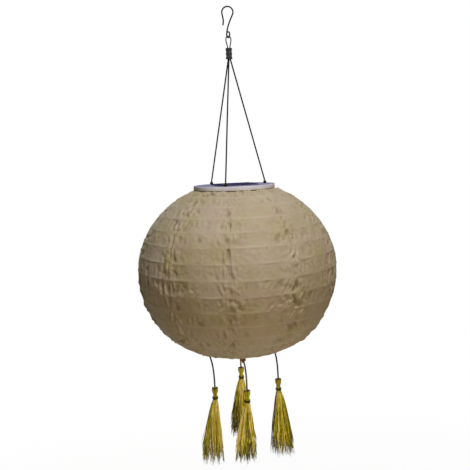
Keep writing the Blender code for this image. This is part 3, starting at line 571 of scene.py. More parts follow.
@dataclass(frozen=True)
class Strand:
    """Section of a wire, cord or thread.

    Attributes:
        diameter: Widest width.
        sides: Corners of the section.
        lobes: Number of plies that show round the section.
        lobe_depth: Depth between plies, as a share of the radius.
        lay: Length in which the plies make one turn.
    """

    diameter: float
    sides: int = 14
    lobes: int = 0
    lobe_depth: float = 0.0
    lay: float = 0.0

    def frames(self, path: list[Vector]) -> list[Matrix]:
        """Return a matrix for the section at each point of a path, turned by the lay."""
        tangents = [(after - before).normalized() for before, after in zip(path, path[1:])]
        inner = [(a + b).normalized() for a, b in zip(tangents, tangents[1:])]
        tangents = tangents[:1] + inner + tangents[-1:]
        side = tangents[0].orthogonal().normalized()
        turn, made = 0.0, []
        for number, (point, along) in enumerate(zip(path, tangents)):
            if number:
                side = (tangents[number - 1].rotation_difference(along) @ side).normalized()
                if self.lay:
                    turn += FULL_TURN * (point - path[number - 1]).length / self.lay
            basis = Matrix((side, along.cross(side), along)).transposed().to_4x4()
            made.append(Matrix.Translation(point) @ basis @ Matrix.Rotation(turn, 4, "Z"))
        return made

    def tube(self, path: list[Vector], taper: list[float] | None = None) -> bmesh.types.BMesh:
        """Draw the section along a path and close its ends.

        Args:
            path: Points of the centreline.
            taper: Width at each point, as a share of the diameter.

        Returns:
            A bmesh of the strand, whose vertices hold the number of their point in a layer called ring.
        """
        shape = bmesh.new()
        number = shape.verts.layers.int.new("ring")
        section = bmesh.ops.create_circle(shape, segments=self.sides, radius=self.diameter / 2)["verts"]
        for vertex in section:
            angle = math.atan2(vertex.co.y, vertex.co.x)
            vertex.co *= 1.0 - self.lobe_depth * (0.5 - 0.5 * math.cos(self.lobes * angle))
        bmesh.ops.spin(shape, geom=section + shape.edges[:], cent=(0, 0, 0), axis=UP, dvec=UP, angle=0.0,
                       steps=len(path) - 1)
        places = self.frames(path)
        for vertex in shape.verts:
            vertex[number] = round(vertex.co.z)
            scale = taper[vertex[number]] if taper else 1.0
            vertex.co = places[vertex[number]] @ Vector((scale * vertex.co.x, scale * vertex.co.y, 0.0))
        bmesh.ops.edgeloop_fill(shape, edges=[edge for edge in shape.edges if edge.is_boundary])
        bmesh.ops.recalc_face_normals(shape, faces=shape.faces)
        return shape

    def piece(self, made: Piece, *paths: list[Vector]) -> bpy.types.Object:
        """Make a piece of one or more drawn strands."""
        return made.make(gathered([self.tube(path) for path in paths]))


def gathered(parts: list[bmesh.types.BMesh]) -> bmesh.types.BMesh:
    """Join bmeshes into one and free them."""
    whole = bmesh.new()
    store = bpy.data.meshes.new("store")
    for part in parts:
        part.to_mesh(store)
        part.free()
        whole.from_mesh(store)
    bpy.data.meshes.remove(store)
    return whole


def spun(profile: list[tuple[float, float]], steps: int, closed: bool = False) -> bmesh.types.BMesh:
    """Spin an outline of (radius, height) points about Z.

    Args:
        profile: The outline's points.
        steps: Number of sides.
        closed: True where the outline's last point joins its first.

    Returns:
        A bmesh of the turned shape, its poles closed and its faces outwards.
    """
    shape = bmesh.new()
    corners = [shape.verts.new((radius, 0.0, height)) for radius, height in profile]
    edges = [shape.edges.new(pair) for pair in zip(corners, corners[1:])]
    if closed:
        edges.append(shape.edges.new((corners[-1], corners[0])))
    bmesh.ops.spin(shape, geom=corners + edges, cent=(0, 0, 0), axis=UP, angle=FULL_TURN, steps=steps,
                   use_merge=True)
    bmesh.ops.remove_doubles(shape, verts=shape.verts, dist=WELD)
    bmesh.ops.recalc_face_normals(shape, faces=shape.faces)
    return shape


def round_edges(shape: bmesh.types.BMesh, width: float, segments: int = 2) -> None:
    """Round every sharp edge of a shape."""
    sharp = [edge for edge in shape.edges if len(edge.link_faces) == 2
             and edge.calc_face_angle(0.0) > math.radians(SHARP_DEG)]
    bmesh.ops.bevel(shape, geom=sharp, offset=width, offset_type="OFFSET", segments=segments, profile=0.5,
                    affect="EDGES", material=-1, clamp_overlap=True)


def welded(node: str) -> bmesh.types.BMesh:
    """Return a copy of a CAD node's mesh with its loose triangles joined."""
    shape = bmesh.new()
    shape.from_mesh(frame["nodes"][node].data)
    bmesh.ops.remove_doubles(shape, verts=shape.verts, dist=WELD)
    bmesh.ops.dissolve_limit(shape, angle_limit=math.radians(FLAT_DEG), verts=shape.verts, edges=shape.edges)
    return shape


def middle(node: str) -> Vector:
    """Return the middle of a CAD node's box."""
    low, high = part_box(node)
    return (low + high) / 2


@dataclass
class Hanger:
    """Hook, cable loop, crimp sleeve, three twisted cables and their feet on the cap.

    Attributes:
        hook_wire_mm: Width of the hook's wire.
        bow_width_mm: Outer width of the hook's bow.
        tip_drop_mm: Depth of the hook's tip below its crown.
        tip_inset_mm: Distance of the tip inside the bow's side.
        waist_inset_mm: Inward bend above the tip.
        hook_length_mm: Depth of the eye's lower side below the crown.
        eye_width_mm: Outer width of the eye.
        eye_turn_deg: Turn of the eye's plane about the vertical.
        bow_end_deg: Angle at which the bow runs into the stem.
        eye_span_deg: Angles between which the eye is bent.
        waist_level: Height of the waist, as a share of the way from the tip up to the bow.
        bow_pull: How far down the tip's curve follows the bow's side, as a share of that way.
        stem_pull: How far the stem keeps its direction at both ends, as a share of its height.
        loop_wire_mm: Width of the loop's cable.
        loop_width_mm: Outer width of the loop.
        loop_pull: How far the loop's sides stay upright at both ends, as a share of their height.
        cable_mm: Width of a hanging cable.
        cable_lay_mm: Length of one turn of its strands, drawn long so that it shows.
        cable_strands: Number of strands that show round a cable.
        gap_mm: Gap between touching pieces.
        bore_mm: Bore of the crimp sleeve.
        slip_mm: Gap between a cable and that bore.
        grip_mm: Length of cable in the sleeve.
        pinch_share: Depth of a pinch in the sleeve, as a share of its radius.
        pinch_levels: Places of the pinches, from its top, 0, to its bottom, 1.
        pinch_half: Half height of a pinch, on the same scale.
        sleeve_edge_mm: Rounding of the sleeve's rims.
        foot_share: Width of a foot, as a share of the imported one.
        foot_shoulder_mm: Height of a foot's rounded shoulder.
        foot_edge_mm: Rounding of its edges.
        socket_gap_mm: How much wider than its cable a foot's socket is.
        socket_depth_mm: Depth of that socket.
        peg_radius_mm: Radius of the peg that goes into the cap.
    """

    hook_wire_mm: float = 2.2
    bow_width_mm: float = 18.8
    tip_drop_mm: float = 26.2
    tip_inset_mm: float = 0.7
    waist_inset_mm: float = 3.4
    hook_length_mm: float = 45.4
    eye_width_mm: float = 10.6
    eye_turn_deg: float = -58.0
    bow_end_deg: float = -25.0
    eye_span_deg: tuple[float, float] = (180.0, 465.0)
    waist_level: float = 0.42
    bow_pull: float = 0.25
    stem_pull: float = 0.3
    loop_wire_mm: float = 1.8
    loop_width_mm: float = 10.6
    loop_pull: float = 0.45
    cable_mm: float = 2.4
    cable_lay_mm: float = 9.0
    cable_strands: int = 6
    gap_mm: float = 0.3
    bore_mm: float = 7.0
    slip_mm: float = 0.4
    grip_mm: float = 5.0
    pinch_share: float = 0.14
    pinch_levels: tuple[float, float] = (0.32, 0.68)
    pinch_half: float = 0.09
    sleeve_edge_mm: float = 0.5
    foot_share: float = 0.82
    foot_shoulder_mm: float = 1.4
    foot_edge_mm: float = 0.25
    socket_gap_mm: float = 0.6
    socket_depth_mm: float = 2.0
    peg_radius_mm: float = 1.4

    def hook_route(self) -> list[Vector]:
        """Return the centreline of the hook, from its tip to the end of its eye."""
        across = Vector((1.0, 0.0, 0.0))
        wire = self.hook_wire_mm * MM
        bow = (self.bow_width_mm * MM - wire) / 2
        centre = Vector((0.0, 0.0, wire / 2 - bow))
        eye = (self.eye_width_mm * MM - wire) / 2
        eye_centre = Vector((0.0, 0.0, wire / 2 - self.hook_length_mm * MM + eye))
        tip = Vector((self.tip_inset_mm * MM - bow, 0.0, -self.tip_drop_mm * MM))
        start = centre - bow * across
        leg = start.z - tip.z
        waist = Vector((self.waist_inset_mm * MM - bow, 0.0, tip.z + self.waist_level * leg))
        points = [tip] + bezier(tip, waist, start - self.bow_pull * leg * UP, start, 16)
        end = math.radians(self.bow_end_deg)
        points += arc(centre, across, UP, bow, math.pi, end, 40)[1:]
        round_eye = arc(eye_centre, polar(1.0, math.radians(self.eye_turn_deg)), UP, eye,
                        *(math.radians(a) for a in self.eye_span_deg), 44)
        leaving = math.sin(end) * across - math.cos(end) * UP
        pull = self.stem_pull * (centre.z - eye_centre.z)
        points += bezier(points[-1], points[-1] + pull * leaving, round_eye[0] + pull * UP, round_eye[0], 20)
        return points + round_eye[1:]

    def loop_route(self) -> list[Vector]:
        """Return the centreline of the cable loop, from one crimped end to the other."""
        across = polar(1.0, math.radians(self.eye_turn_deg + 90.0))
        wire = self.loop_wire_mm * MM
        radius = (self.loop_width_mm * MM - wire) / 2
        bore_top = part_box("crimp_ferrule")[1].z
        centre = Vector((0.0, 0.0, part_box("hanging_loop")[1].z - wire / 2 - radius))
        leg = (self.bore_mm * MM - wire) / 2 - self.slip_mm * MM
        foot = Vector((0.0, 0.0, bore_top - self.grip_mm * MM)) + leg * across
        neck = Vector((0.0, 0.0, bore_top)) + leg * across
        reach = self.loop_pull * (centre.z - neck.z)
        side = centre + radius * across
        right = [foot, neck] + bezier(neck, neck + reach * UP, side - reach * UP, side, 14)
        crown = arc(centre, across, UP, radius, 0.0, math.pi, 24)[1:-1]
        mirrored = [point - 2 * point.dot(across) * across for point in reversed(right)]
        return right + crown + mirrored

    def build(self) -> None:
        """Make every piece of the hanger."""
        hook = Strand(self.hook_wire_mm * MM, sides=16)
        hook.piece(Piece("wire_hook", COATED_WIRE, "hook", Slot.HOOK_WIRE, ("hook",)), self.hook_route())
        loop = Strand(self.loop_wire_mm * MM, sides=18, lobes=self.cable_strands, lobe_depth=0.22,
                      lay=self.cable_lay_mm * MM)
        loop.piece(Piece("cable_loop", TWISTED_STEEL, "hanger", Slot.CABLE, ("hanging_loop",)),
                   resample(self.loop_route(), 0.6 * MM))
        self.build_sleeve()
        for number in (1, 2, 3):
            self.build_cable(number)

    def build_sleeve(self) -> None:
        """Make the crimp sleeve, pinched twice round the cables."""
        low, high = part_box("crimp_ferrule")
        outer, bore = (high.x - low.x) / 2, self.bore_mm * MM / 2
        half = (high.z - low.z) / 2
        pinch = self.pinch_share * outer
        steps = 26
        wall = []
        for step in range(steps + 1):
            share = step / steps
            squeeze = sum(math.exp(-((share - at) / self.pinch_half) ** 2) for at in self.pinch_levels)
            wall.append((outer - pinch * squeeze, half * (1 - 2 * share)))
        shape = spun([(bore, half)] + wall + [(bore, -half)], 48, closed=True)
        round_edges(shape, self.sleeve_edge_mm * MM, 3)
        bmesh.ops.translate(shape, verts=shape.verts, vec=(0, 0, (low.z + high.z) / 2))
        Piece("crimp_sleeve", CRIMPED_ALLOY, "hanger", Slot.FERRULE, ("crimp_ferrule",)).make(shape)

    def build_cable(self, number: int) -> None:
        """Make one hanging cable and the foot that holds it on the cap."""
        foot_middle = middle(f"wire_foot_{number}")
        angle = math.atan2(foot_middle.y, foot_middle.x)
        sleeve_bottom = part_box("crimp_ferrule")[0].z
        start = (self.bore_mm - self.cable_mm) * MM / 2 - self.slip_mm * MM
        cable_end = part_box(f"hanging_wire_{number}")[0].z
        foot_radius = Vector((foot_middle.x, foot_middle.y)).length
        points = [polar(start, angle, sleeve_bottom + self.grip_mm * MM), polar(start, angle, sleeve_bottom),
                  polar(foot_radius, angle, cable_end + self.cable_mm * MM / 2)]
        cable = Strand(self.cable_mm * MM, sides=18, lobes=self.cable_strands, lobe_depth=0.24,
                       lay=self.cable_lay_mm * MM)
        cable.piece(Piece(f"twisted_cable_{number}", TWISTED_STEEL, "hanger", Slot.CABLE,
                          (f"hanging_wire_{number}",)), resample(points, 0.8 * MM))
        bottom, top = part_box(f"wire_foot_{number}")
        outer = self.foot_share * (top.x - bottom.x) / 2
        cap_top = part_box("cap_ring")[1].z + self.gap_mm * MM
        socket, peg = (self.cable_mm + self.socket_gap_mm) * MM / 2, self.peg_radius_mm * MM
        floor, shoulder = top.z - self.socket_depth_mm * MM, self.foot_shoulder_mm * MM
        profile = [(0.0, floor), (socket, floor), (socket, top.z), (0.8 * outer, top.z),
                   (0.93 * outer, top.z - shoulder / 2), (outer, top.z - shoulder), (outer, cap_top),
                   (peg, cap_top), (peg, bottom.z), (0.0, bottom.z)]
        shape = spun(profile, 32)
        round_edges(shape, self.foot_edge_mm * MM)
        bmesh.ops.translate(shape, verts=shape.verts, vec=(foot_middle.x, foot_middle.y, 0.0))
        Piece(f"cable_foot_{number}", COATED_WIRE, "hanger", Slot.HOOK_WIRE,
              (f"wire_foot_{number}",)).make(shape)


@dataclass
class Cap:
    """Pale cap with its solar panel, and the tub, lamps, door and switch below it.

    Attributes:
        pocket_side_mm: Side of the panel's pocket.
        pocket_depth_mm: Depth of the pocket.
        edge_mm: Rounding of the cap's rim.
        panel_edge_mm: Rounding of the panel's resin.
        face_mm: Depth below the top that still counts as the upward face, which is painted darker as painted
            shade.
        plate_mm: Thickness of the cap's plate.
        wall_mm: Thickness of the cap's skirt.
        steps: Sides of the cap's circle, a multiple of four.
    """

    pocket_side_mm: float = 61.6
    pocket_depth_mm: float = 2.2
    edge_mm: float = 0.9
    panel_edge_mm: float = 0.6
    face_mm: float = 0.05
    plate_mm: float = 3.0
    wall_mm: float = 2.0
    steps: int = 96

    def square(self, shape: bmesh.types.BMesh, side: float, z: float) -> list:
        """Add the outline of a turned square with as many corners as the cap's circle."""
        turned = Matrix.Rotation(math.radians(45 + PANEL_TURN_DEG), 4, "Z")
        corners = bmesh.ops.create_circle(shape, segments=4, radius=side / math.sqrt(2),
                                          matrix=Matrix.Translation((0, 0, z)) @ turned)
        edges = list({edge for vertex in corners["verts"] for edge in vertex.link_edges})
        split = bmesh.ops.subdivide_edges(shape, edges=edges, cuts=self.steps // 4 - 1)["geom_inner"]
        found = {edge for item in split if isinstance(item, bmesh.types.BMVert) for edge in item.link_edges}
        return list(found)

    def build(self) -> None:
        """Make the cap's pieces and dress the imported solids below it."""
        self.build_shell()
        self.build_panel()
        for node, name, finish, body, slot, edge_mm in (
                ("cap_base", "base_tub", WHITE_ABS, "hanger", Slot.BASE, 0.25),
                ("battery_cover", "battery_door_panel", WHITE_ABS, "battery_door", Slot.BASE, 0.2),
                ("switch_slider", "switch_knob", BLACK_ABS, "switch", Slot.SWITCH, 0.3),
                ("expander_frame", "expander_wire", SPRING_WIRE, "hanger", Slot.STEEL, 0.0),
                ("led_left", "lamp_lens_left", LENS_RESIN, "hanger", Slot.LENS, 0.0),
                ("led_right", "lamp_lens_right", LENS_RESIN, "hanger", Slot.LENS, 0.0)):
            shape = welded(node)
            if edge_mm:
                round_edges(shape, edge_mm * MM)
            Piece(name, finish, body, slot, (node,), SHARP_DEG).make(shape)
        dressed = {
            "panel_gasket": BLACK_FOAM, "circuit_board": GLASS_FIBRE_BOARD, "battery": SHRINK_SLEEVE,
            "battery_contact_1": NICKEL_STEEL, "battery_contact_2": NICKEL_STEEL}
        dressed.update({f"cap_screw_{number}": NICKEL_STEEL for number in (1, 2, 3)})
        for node, finish in dressed.items():
            frame["nodes"][node].material_slots[0].material = finish.material()
            LOG.info("%s: packed solid in %s", node, finish.name)

    def build_shell(self) -> None:
        """Make the cap: a plate with a square pocket, a rounded rim and a thin skirt."""
        low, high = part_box("cap_ring")
        radius = (high.x - low.x) / 2
        shape = bmesh.new()
        rim = bmesh.ops.create_circle(shape, segments=self.steps, radius=radius,
                                      matrix=Matrix.Translation((0, 0, high.z)))["verts"]
        rim_edges = list({edge for vertex in rim for edge in vertex.link_edges})
        pocket_edges = self.square(shape, self.pocket_side_mm * MM, high.z)
        bmesh.ops.bridge_loops(shape, edges=rim_edges + pocket_edges)
        for edges, steps in (
                (pocket_edges, ((1.0, -self.pocket_depth_mm * MM),)),
                (rim_edges, ((1.0, low.z - high.z), (1 - self.wall_mm * MM / radius, 0.0),
                             (1.0, high.z - low.z - self.plate_mm * MM)))):
            for scale, drop in steps:
                grown = bmesh.ops.extrude_edge_only(shape, edges=edges)["geom"]
                ring = [item for item in grown if isinstance(item, bmesh.types.BMVert)]
                edges = [item for item in grown if isinstance(item, bmesh.types.BMEdge) and item.is_boundary]
                bmesh.ops.scale(shape, vec=(scale, scale, 1.0), verts=ring)
                bmesh.ops.translate(shape, vec=(0, 0, drop), verts=ring)
            bmesh.ops.contextual_create(shape, geom=edges)
        bmesh.ops.recalc_face_normals(shape, faces=shape.faces)
        round_edges(shape, self.edge_mm * MM / 2, 3)
        painted_top_shade = shape.verts.layers.float.new("painted_top_shade")
        # the upward face is marked for a darker violet-grey: painted shade
        for vertex in shape.verts:
            vertex[painted_top_shade] = 1.0 if vertex.co.z > high.z - self.face_mm * MM else 0.0
        Piece("cap_shell", SILVER_ABS, "hanger", Slot.CAP, ("cap_ring",)).make(shape)

    def build_panel(self) -> None:
        """Make the solar panel: a square slab whose resin top is rounded at its edges."""
        low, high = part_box("solar_panel")
        turn = math.radians(PANEL_TURN_DEG)
        side = (high.x - low.x) / (math.cos(turn) + math.sin(turn))
        place = Matrix.Translation((low + high) / 2) @ Matrix.Rotation(turn, 4, "Z")
        shape = bmesh.new()
        sides = Matrix.Diagonal((side, side, high.z - low.z, 1.0))
        bmesh.ops.create_cube(shape, size=1.0, matrix=place @ sides)
        round_edges(shape, self.panel_edge_mm * MM, 4)
        Piece("solar_cells", SOLAR_CELL, "hanger", Slot.PANEL, ("solar_panel",)).make(shape)


def unit(value: float) -> float:
    """Return a value held between 0 and 1."""
    return min(1.0, max(0.0, value))


def clouds(spot: Vector, width: float, shift: tuple[float, float, float] = (0.0, 0.0, 0.0)) -> float:
    """Return smooth noise about 0 in patches of a width. A shift takes it from elsewhere in the noise."""
    return noise.noise(spot / width + Vector(shift))


@dataclass(frozen=True)
class ClothRelief:
    """Casings, folds, wrinkles, puckers and seams of a cloth skin, as heights in millimetres.

    A field that ends in _mix holds a start value and how much each influence adds to it.

    Attributes:
        swell_power: How squarely the relief rises between two hoops. Lower is squarer.
        dip_mm: How far the cloth is drawn in between two hoops.
        dip_patch_mm: Width of the patches in which that differs.
        bead_mm: Height of the casing that shows over a hoop.
        bead_half_mm: Half width of that casing.
        casing_mm: Distance of the casing's sewn edge from its hoop.
        stitch_half_mm: Half width of the sewn edge.
        shown_mix: How plainly a casing shows at the ends, and what nearness to the widest hoop adds.
        taut_mix: How taut the casing is, and what the patches add.
        taut_patch_mm: Width of the taut patches.
        fold_mm: Height of the upright folds.
        fold_width_mm: Width of an upright fold.
        fold_stretch: How many times as long as wide a fold is.
        fold_shares: Shares of rounded and of pinched folds.
        bay_step: Shift of the folds' pattern from one bay to the next.
        sway_mm: How far the folds sway sideways.
        sway_patch_mm: Width of the patches that sway together.
        loose_mix: How loose the cloth is, and what the patches add.
        loose_patch_mm: Width of the loose patches.
        loose_step: Shift of the loose patches from one bay to the next.
        slack_mix: Slack of plain cloth, and what a near seam and looseness add.
        streak_mm: Height of the narrow wrinkles beside a seam.
        streak_width_mm: Width of a narrow wrinkle.
        streak_mix: Share of them on plain cloth, and what a near seam and looseness add.
        crumple_mm: Height of the small crumples.
        crumple_width_mm: Width of a crumple.
        crumple_mix: Share of crumples on taut cloth, and what slack adds.
        calm_mix: Share of the relief at the bottom hem, and what each hoop above it adds.
        worked_mix: Share of the folds at the top, and what the way down adds.
        pucker_mm: Height of the puckers along a seam.
        pucker_width_mm: Width of a pucker.
        pucker_edge_mm: Half width of a pucker's raised edge.
        pucker_flat: Height of a pucker, as a share of its width.
        pucker_reach_mm: How far puckers spread from a seam.
        fray_mm: How far a pucker's edge wanders.
        fray_patch_mm: Width of one such bend.
        open_mix: How much of a pucker's edge is raised, and what the patches add.
        open_patch_mm: Width of those patches.
        seam_mm: Height of a seam's ridge and depth of the groove beside it.
        seam_half_mm: Half width of the ridge and of the groove.
        groove_mm: Distance of the groove from the seam.
        gather_mix: How much a seam is gathered, and what the patches add.
        gather_patch_mm: Width of those patches.
        crease_share: How fast the cloth is painted darker, as dust and painted shade, with the depth of a
            crease.
    """

    swell_power: float = 0.8
    dip_mm: float = 0.15
    dip_patch_mm: float = 70.0
    bead_mm: float = 0.4
    bead_half_mm: float = 1.5
    casing_mm: float = 2.3
    stitch_half_mm: float = 1.1
    shown_mix: tuple[float, float] = (0.4, 0.6)
    taut_mix: tuple[float, float] = (0.55, 1.8)
    taut_patch_mm: float = 24.0
    fold_mm: float = 2.4
    fold_width_mm: float = 9.0
    fold_stretch: float = 4.0
    fold_shares: tuple[float, float] = (0.6, 0.25)
    bay_step: float = 0.6
    sway_mm: float = 6.0
    sway_patch_mm: float = 22.0
    loose_mix: tuple[float, float] = (0.15, 1.6)
    loose_patch_mm: float = 34.0
    loose_step: float = 7.3
    slack_mix: tuple[float, float, float] = (0.16, 0.6, 0.75)
    streak_mm: float = 2.3
    streak_width_mm: float = 4.6
    streak_mix: tuple[float, float, float] = (0.08, 0.6, 0.25)
    crumple_mm: float = 1.4
    crumple_width_mm: float = 4.6
    crumple_mix: tuple[float, float] = (0.2, 0.6)
    calm_mix: tuple[float, float] = (0.3, 0.35)
    worked_mix: tuple[float, float] = (0.7, 0.7)
    pucker_mm: float = 1.6
    pucker_width_mm: float = 13.0
    pucker_edge_mm: float = 1.7
    pucker_flat: float = 0.8
    pucker_reach_mm: float = 15.0
    fray_mm: float = 2.5
    fray_patch_mm: float = 9.0
    open_mix: tuple[float, float] = (0.5, 1.6)
    open_patch_mm: float = 13.0
    seam_mm: float = 0.5
    seam_half_mm: float = 1.4
    groove_mm: float = 3.2
    gather_mix: tuple[float, float] = (0.45, 1.3)
    gather_patch_mm: float = 16.0
    crease_share: float = 0.5

    def casing(self, spot: Vector, level: float, below: float) -> tuple[float, float]:
        """Work out how much a spot is on the casing of a hoop.

        Args:
            spot: The spot in millimetres.
            level: Its place from the top hem, 0, to the bottom one, 1.
            below: Its distance below the nearest hoop.

        Returns:
            How much it is on the casing and on the casing's sewn edge, both 0 to 1.
        """
        shown = self.shown_mix[0] + self.shown_mix[1] * math.sin(math.pi * level)
        patches = clouds(spot, self.taut_patch_mm, (4.0, 8.0, 0.0))
        taut = shown * unit(self.taut_mix[0] + self.taut_mix[1] * patches)
        bead = math.exp(-(below / self.bead_half_mm) ** 2)
        stitched = math.exp(-((below - self.casing_mm) / self.stitch_half_mm) ** 2)
        return taut * bead, taut * stitched

    def folds(self, spot: Vector, bay: int, near_seam: float, calm: float, worked: float) -> float:
        """Work out the height of the folds, the narrow wrinkles and the crumples.

        Args:
            spot: The spot in millimetres.
            bay: Number of the hoop above.
            near_seam: Nearness of a seam, 0 to 1.
            calm: Share of the relief that this part of the skin has.
            worked: Share of the folds that it has.

        Returns:
            Their height together.
        """
        sway = self.sway_mm * clouds(spot, self.sway_patch_mm, (9.0, 3.0, 5.0))
        heights = []
        for size in (self.fold_width_mm, self.streak_width_mm):
            along = spot.z / (self.fold_stretch * size) + self.bay_step * bay
            heights.append(2.0 * noise.noise(Vector(((spot.x + sway) / size, (spot.y + sway) / size, along))))
        wide, fine = heights
        pinched = 1.0 - 2.0 * abs(wide)
        patches = clouds(spot, self.loose_patch_mm, (0.0, 0.0, self.loose_step * bay))
        loose = unit(self.loose_mix[1] * patches + self.loose_mix[0])
        slack, streaked = (mix[0] + mix[1] * near_seam + mix[2] * loose
                           for mix in (self.slack_mix, self.streak_mix))
        fold = self.fold_mm * worked * slack * (self.fold_shares[0] * wide + self.fold_shares[1] * pinched)
        streak = self.streak_mm * worked * streaked * fine
        crumpled = self.crumple_mix[0] + self.crumple_mix[1] * slack
        crumple = self.crumple_mm * calm * clouds(spot, self.crumple_width_mm) * crumpled
        return fold + streak + crumple

    def pucker(self, spot: Vector, across: float, height: float) -> float:
        """Return the height of a full pucker at a distance across and above its middle."""
        far = math.hypot(across, self.pucker_flat * height) + self.fray_mm * clouds(spot, self.fray_patch_mm)
        patches = clouds(spot, self.open_patch_mm, (2.0, 6.0, 1.0))
        open_side = max(0.0, self.open_mix[0] + self.open_mix[1] * patches)
        edge = math.exp(-((far - self.pucker_width_mm / 2) / self.pucker_edge_mm) ** 2)
        return self.pucker_mm * edge * open_side

    def seam(self, spot: Vector, across: float) -> tuple[float, float]:
        """Return the height of a seam's ridge and the depth of its groove at a distance from the seam."""
        gathers = unit(self.gather_mix[0] + self.gather_mix[1] * clouds(spot, self.gather_patch_mm))
        ridge, groove = (math.exp(-((across - at) / self.seam_half_mm) ** 2) for at in (0.0, self.groove_mm))
        return self.seam_mm * gathers * ridge, self.seam_mm * gathers * groove


@dataclass
class ClothBody:
    """Cloth skin of sewn gores, stretched over smooth wire hoops.

    Attributes:
        gores: Number of sewn strips.
        first_seam_deg: Angle of the first seam about the vertical.
        ribs: Number of hoops between the end hoops.
        wire_mm: Width of a hoop's wire.
        wire_sides: Sides of the wire's section.
        hoop_steps: Sides of a hoop's circle.
        cloth_mm: Thickness of the cloth.
        lift_mm: Distance of the cloth from a hoop's centre.
        slack_share: How much farther the cloth stands off a wider hoop, as a share of its radius.
        billow_mm: How far the slack cloth billows off the hoops.
        sag_mm: How much farther it hangs off the lower hoops.
        sag_level: Where it hangs off most, from the top hem, 0, to the bottom one, 1.
        sag_half: Half height of the part that sags, on the same scale.
        sag_end: Height above the bottom hem over which the sag ends, on the same scale.
        hem_mm: Distance of the rolled hem from the centre of its hoop.
        hem_turns_deg: Angles round the hoop of the hem's points.
        rows: Mesh rows between two hoops.
        columns: Mesh columns of a gore.
        seed: Start of the random draws for the puckers.
        pucker_jitter: How far a pucker's middle may lie from that of its bay, as a share of the bay.
        wrinkles: The cloth's relief.
        hoops: Radius and height of each hoop, from the top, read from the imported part.
    """

    gores: int = 10
    first_seam_deg: float = -93.4
    ribs: int = 14
    wire_mm: float = 1.6
    wire_sides: int = 10
    hoop_steps: int = 120
    cloth_mm: float = 0.3
    lift_mm: float = 1.2
    slack_share: float = 0.0095
    billow_mm: float = 1.7
    sag_mm: float = 3.0
    sag_level: float = 0.83
    sag_half: float = 0.13
    sag_end: float = 0.06
    hem_mm: float = 0.98
    hem_turns_deg: tuple[float, ...] = (50.0, 90.0, 130.0, 165.0)
    rows: int = 15
    columns: int = 72
    seed: int = 7
    pucker_jitter: float = 0.25
    wrinkles: ClothRelief = ClothRelief()
    hoops: list = field(default_factory=list)

    def __post_init__(self) -> None:
        """Read the hoops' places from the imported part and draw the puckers' sizes and places."""
        nodes = ["top_hoop"] + [f"rib_hoop_{n}" for n in range(1, self.ribs + 1)] + ["bottom_hoop"]
        for node in nodes:
            low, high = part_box(node)
            self.hoops.append(Vector((high.x - self.wire_mm * MM / 2, (low.z + high.z) / 2)))
        draws = random.Random(self.seed)
        jitter = self.pucker_jitter
        self.pucker_size = [[draws.random() ** 1.5 for _ in self.hoops] for _ in range(self.gores)]
        self.pucker_shift = [[draws.uniform(-jitter, jitter) for _ in self.hoops] for _ in range(self.gores)]

    def build(self) -> None:
        """Make the hoops and the gores."""
        self.build_hoops()
        for number in range(self.gores):
            self.build_gore(number)

    def build_hoops(self) -> None:
        """Make a smooth hoop over each packed one."""
        radius = self.wire_mm * MM / 2
        turns = [FULL_TURN * i / self.wire_sides for i in range(self.wire_sides)]
        for number, place in enumerate(self.hoops):
            node, body, name = f"rib_hoop_{number}", f"rib_{number}", f"rib_wire_{number}"
            if number == 0:
                node, body, name = "top_hoop", "top_hoop", "top_hoop_wire"
            elif number > self.ribs:
                node, body, name = "bottom_hoop", "hanger", "bottom_hoop_wire"
            ring = [(place.x + radius * math.cos(a), place.y + radius * math.sin(a)) for a in turns]
            Piece(name, WRAPPED_WIRE, body, Slot.HOOP, (node,)).make(spun(ring, self.hoop_steps, closed=True))

    def normals(self) -> list[Vector]:
        """Return the outward direction of the skin's outline at each hoop."""
        found = []
        for number in range(len(self.hoops)):
            before = self.hoops[max(0, number - 1)]
            after = self.hoops[min(len(self.hoops) - 1, number + 1)]
            along = (after - before).normalized()
            found.append(Vector((-along.y, along.x)))
        return found

    def relief(self, gore: int, bay: int, share: float, turn: float,
               place: Vector) -> tuple[float, float, float]:
        """Work out how far the cloth stands off the straight line between two hoops.

        Args:
            gore: Number of the gore.
            bay: Number of the hoop above.
            share: Place between the hoops, 0 at the upper one.
            turn: Place across the gore, 0 at one seam and 1 at the next.
            place: The point in the row frame.

        Returns:
            The offset in metres, how much the point is on a rib and how deep it is in a crease, both 0 to 1.
        """
        made, spot, down = self.wrinkles, place / MM, bay + share
        bays = len(self.hoops) - 1
        length = (self.hoops[bay + 1] - self.hoops[bay]).length / MM
        below = share * length if share < 0.5 else (share - 1) * length
        width = Vector((place.x, place.y)).length / MM * FULL_TURN / self.gores
        across = min(turn, 1 - turn) * width
        near_seam = math.exp(-(across / made.pucker_reach_mm) ** 2)
        calm = min(1.0, made.calm_mix[0] + made.calm_mix[1] * (bays - down))
        worked = calm * (made.worked_mix[0] + made.worked_mix[1] * down / len(self.hoops))
        seam = gore if turn < 0.5 else (gore + 1) % self.gores
        height = (share - 0.5 - self.pucker_shift[seam][bay]) * length
        pucker = self.pucker_size[seam][bay] * made.pucker(spot, across, height)
        bead, stitched = made.casing(spot, down / bays, below)
        ridge, groove = made.seam(spot, across)
        swell = math.sin(math.pi * share) ** made.swell_power
        raised = made.folds(spot, bay, near_seam, calm, worked) + pucker - groove
        low = swell * raised - made.bead_mm * stitched
        dip = made.dip_mm * swell * (1.0 + clouds(spot, made.dip_patch_mm))
        offset = made.bead_mm * bead - dip + low + ridge
        # the crease depth returned here is painted darker in the finish, as dust and painted shade
        return offset * MM, bead, unit(-made.crease_share * low)

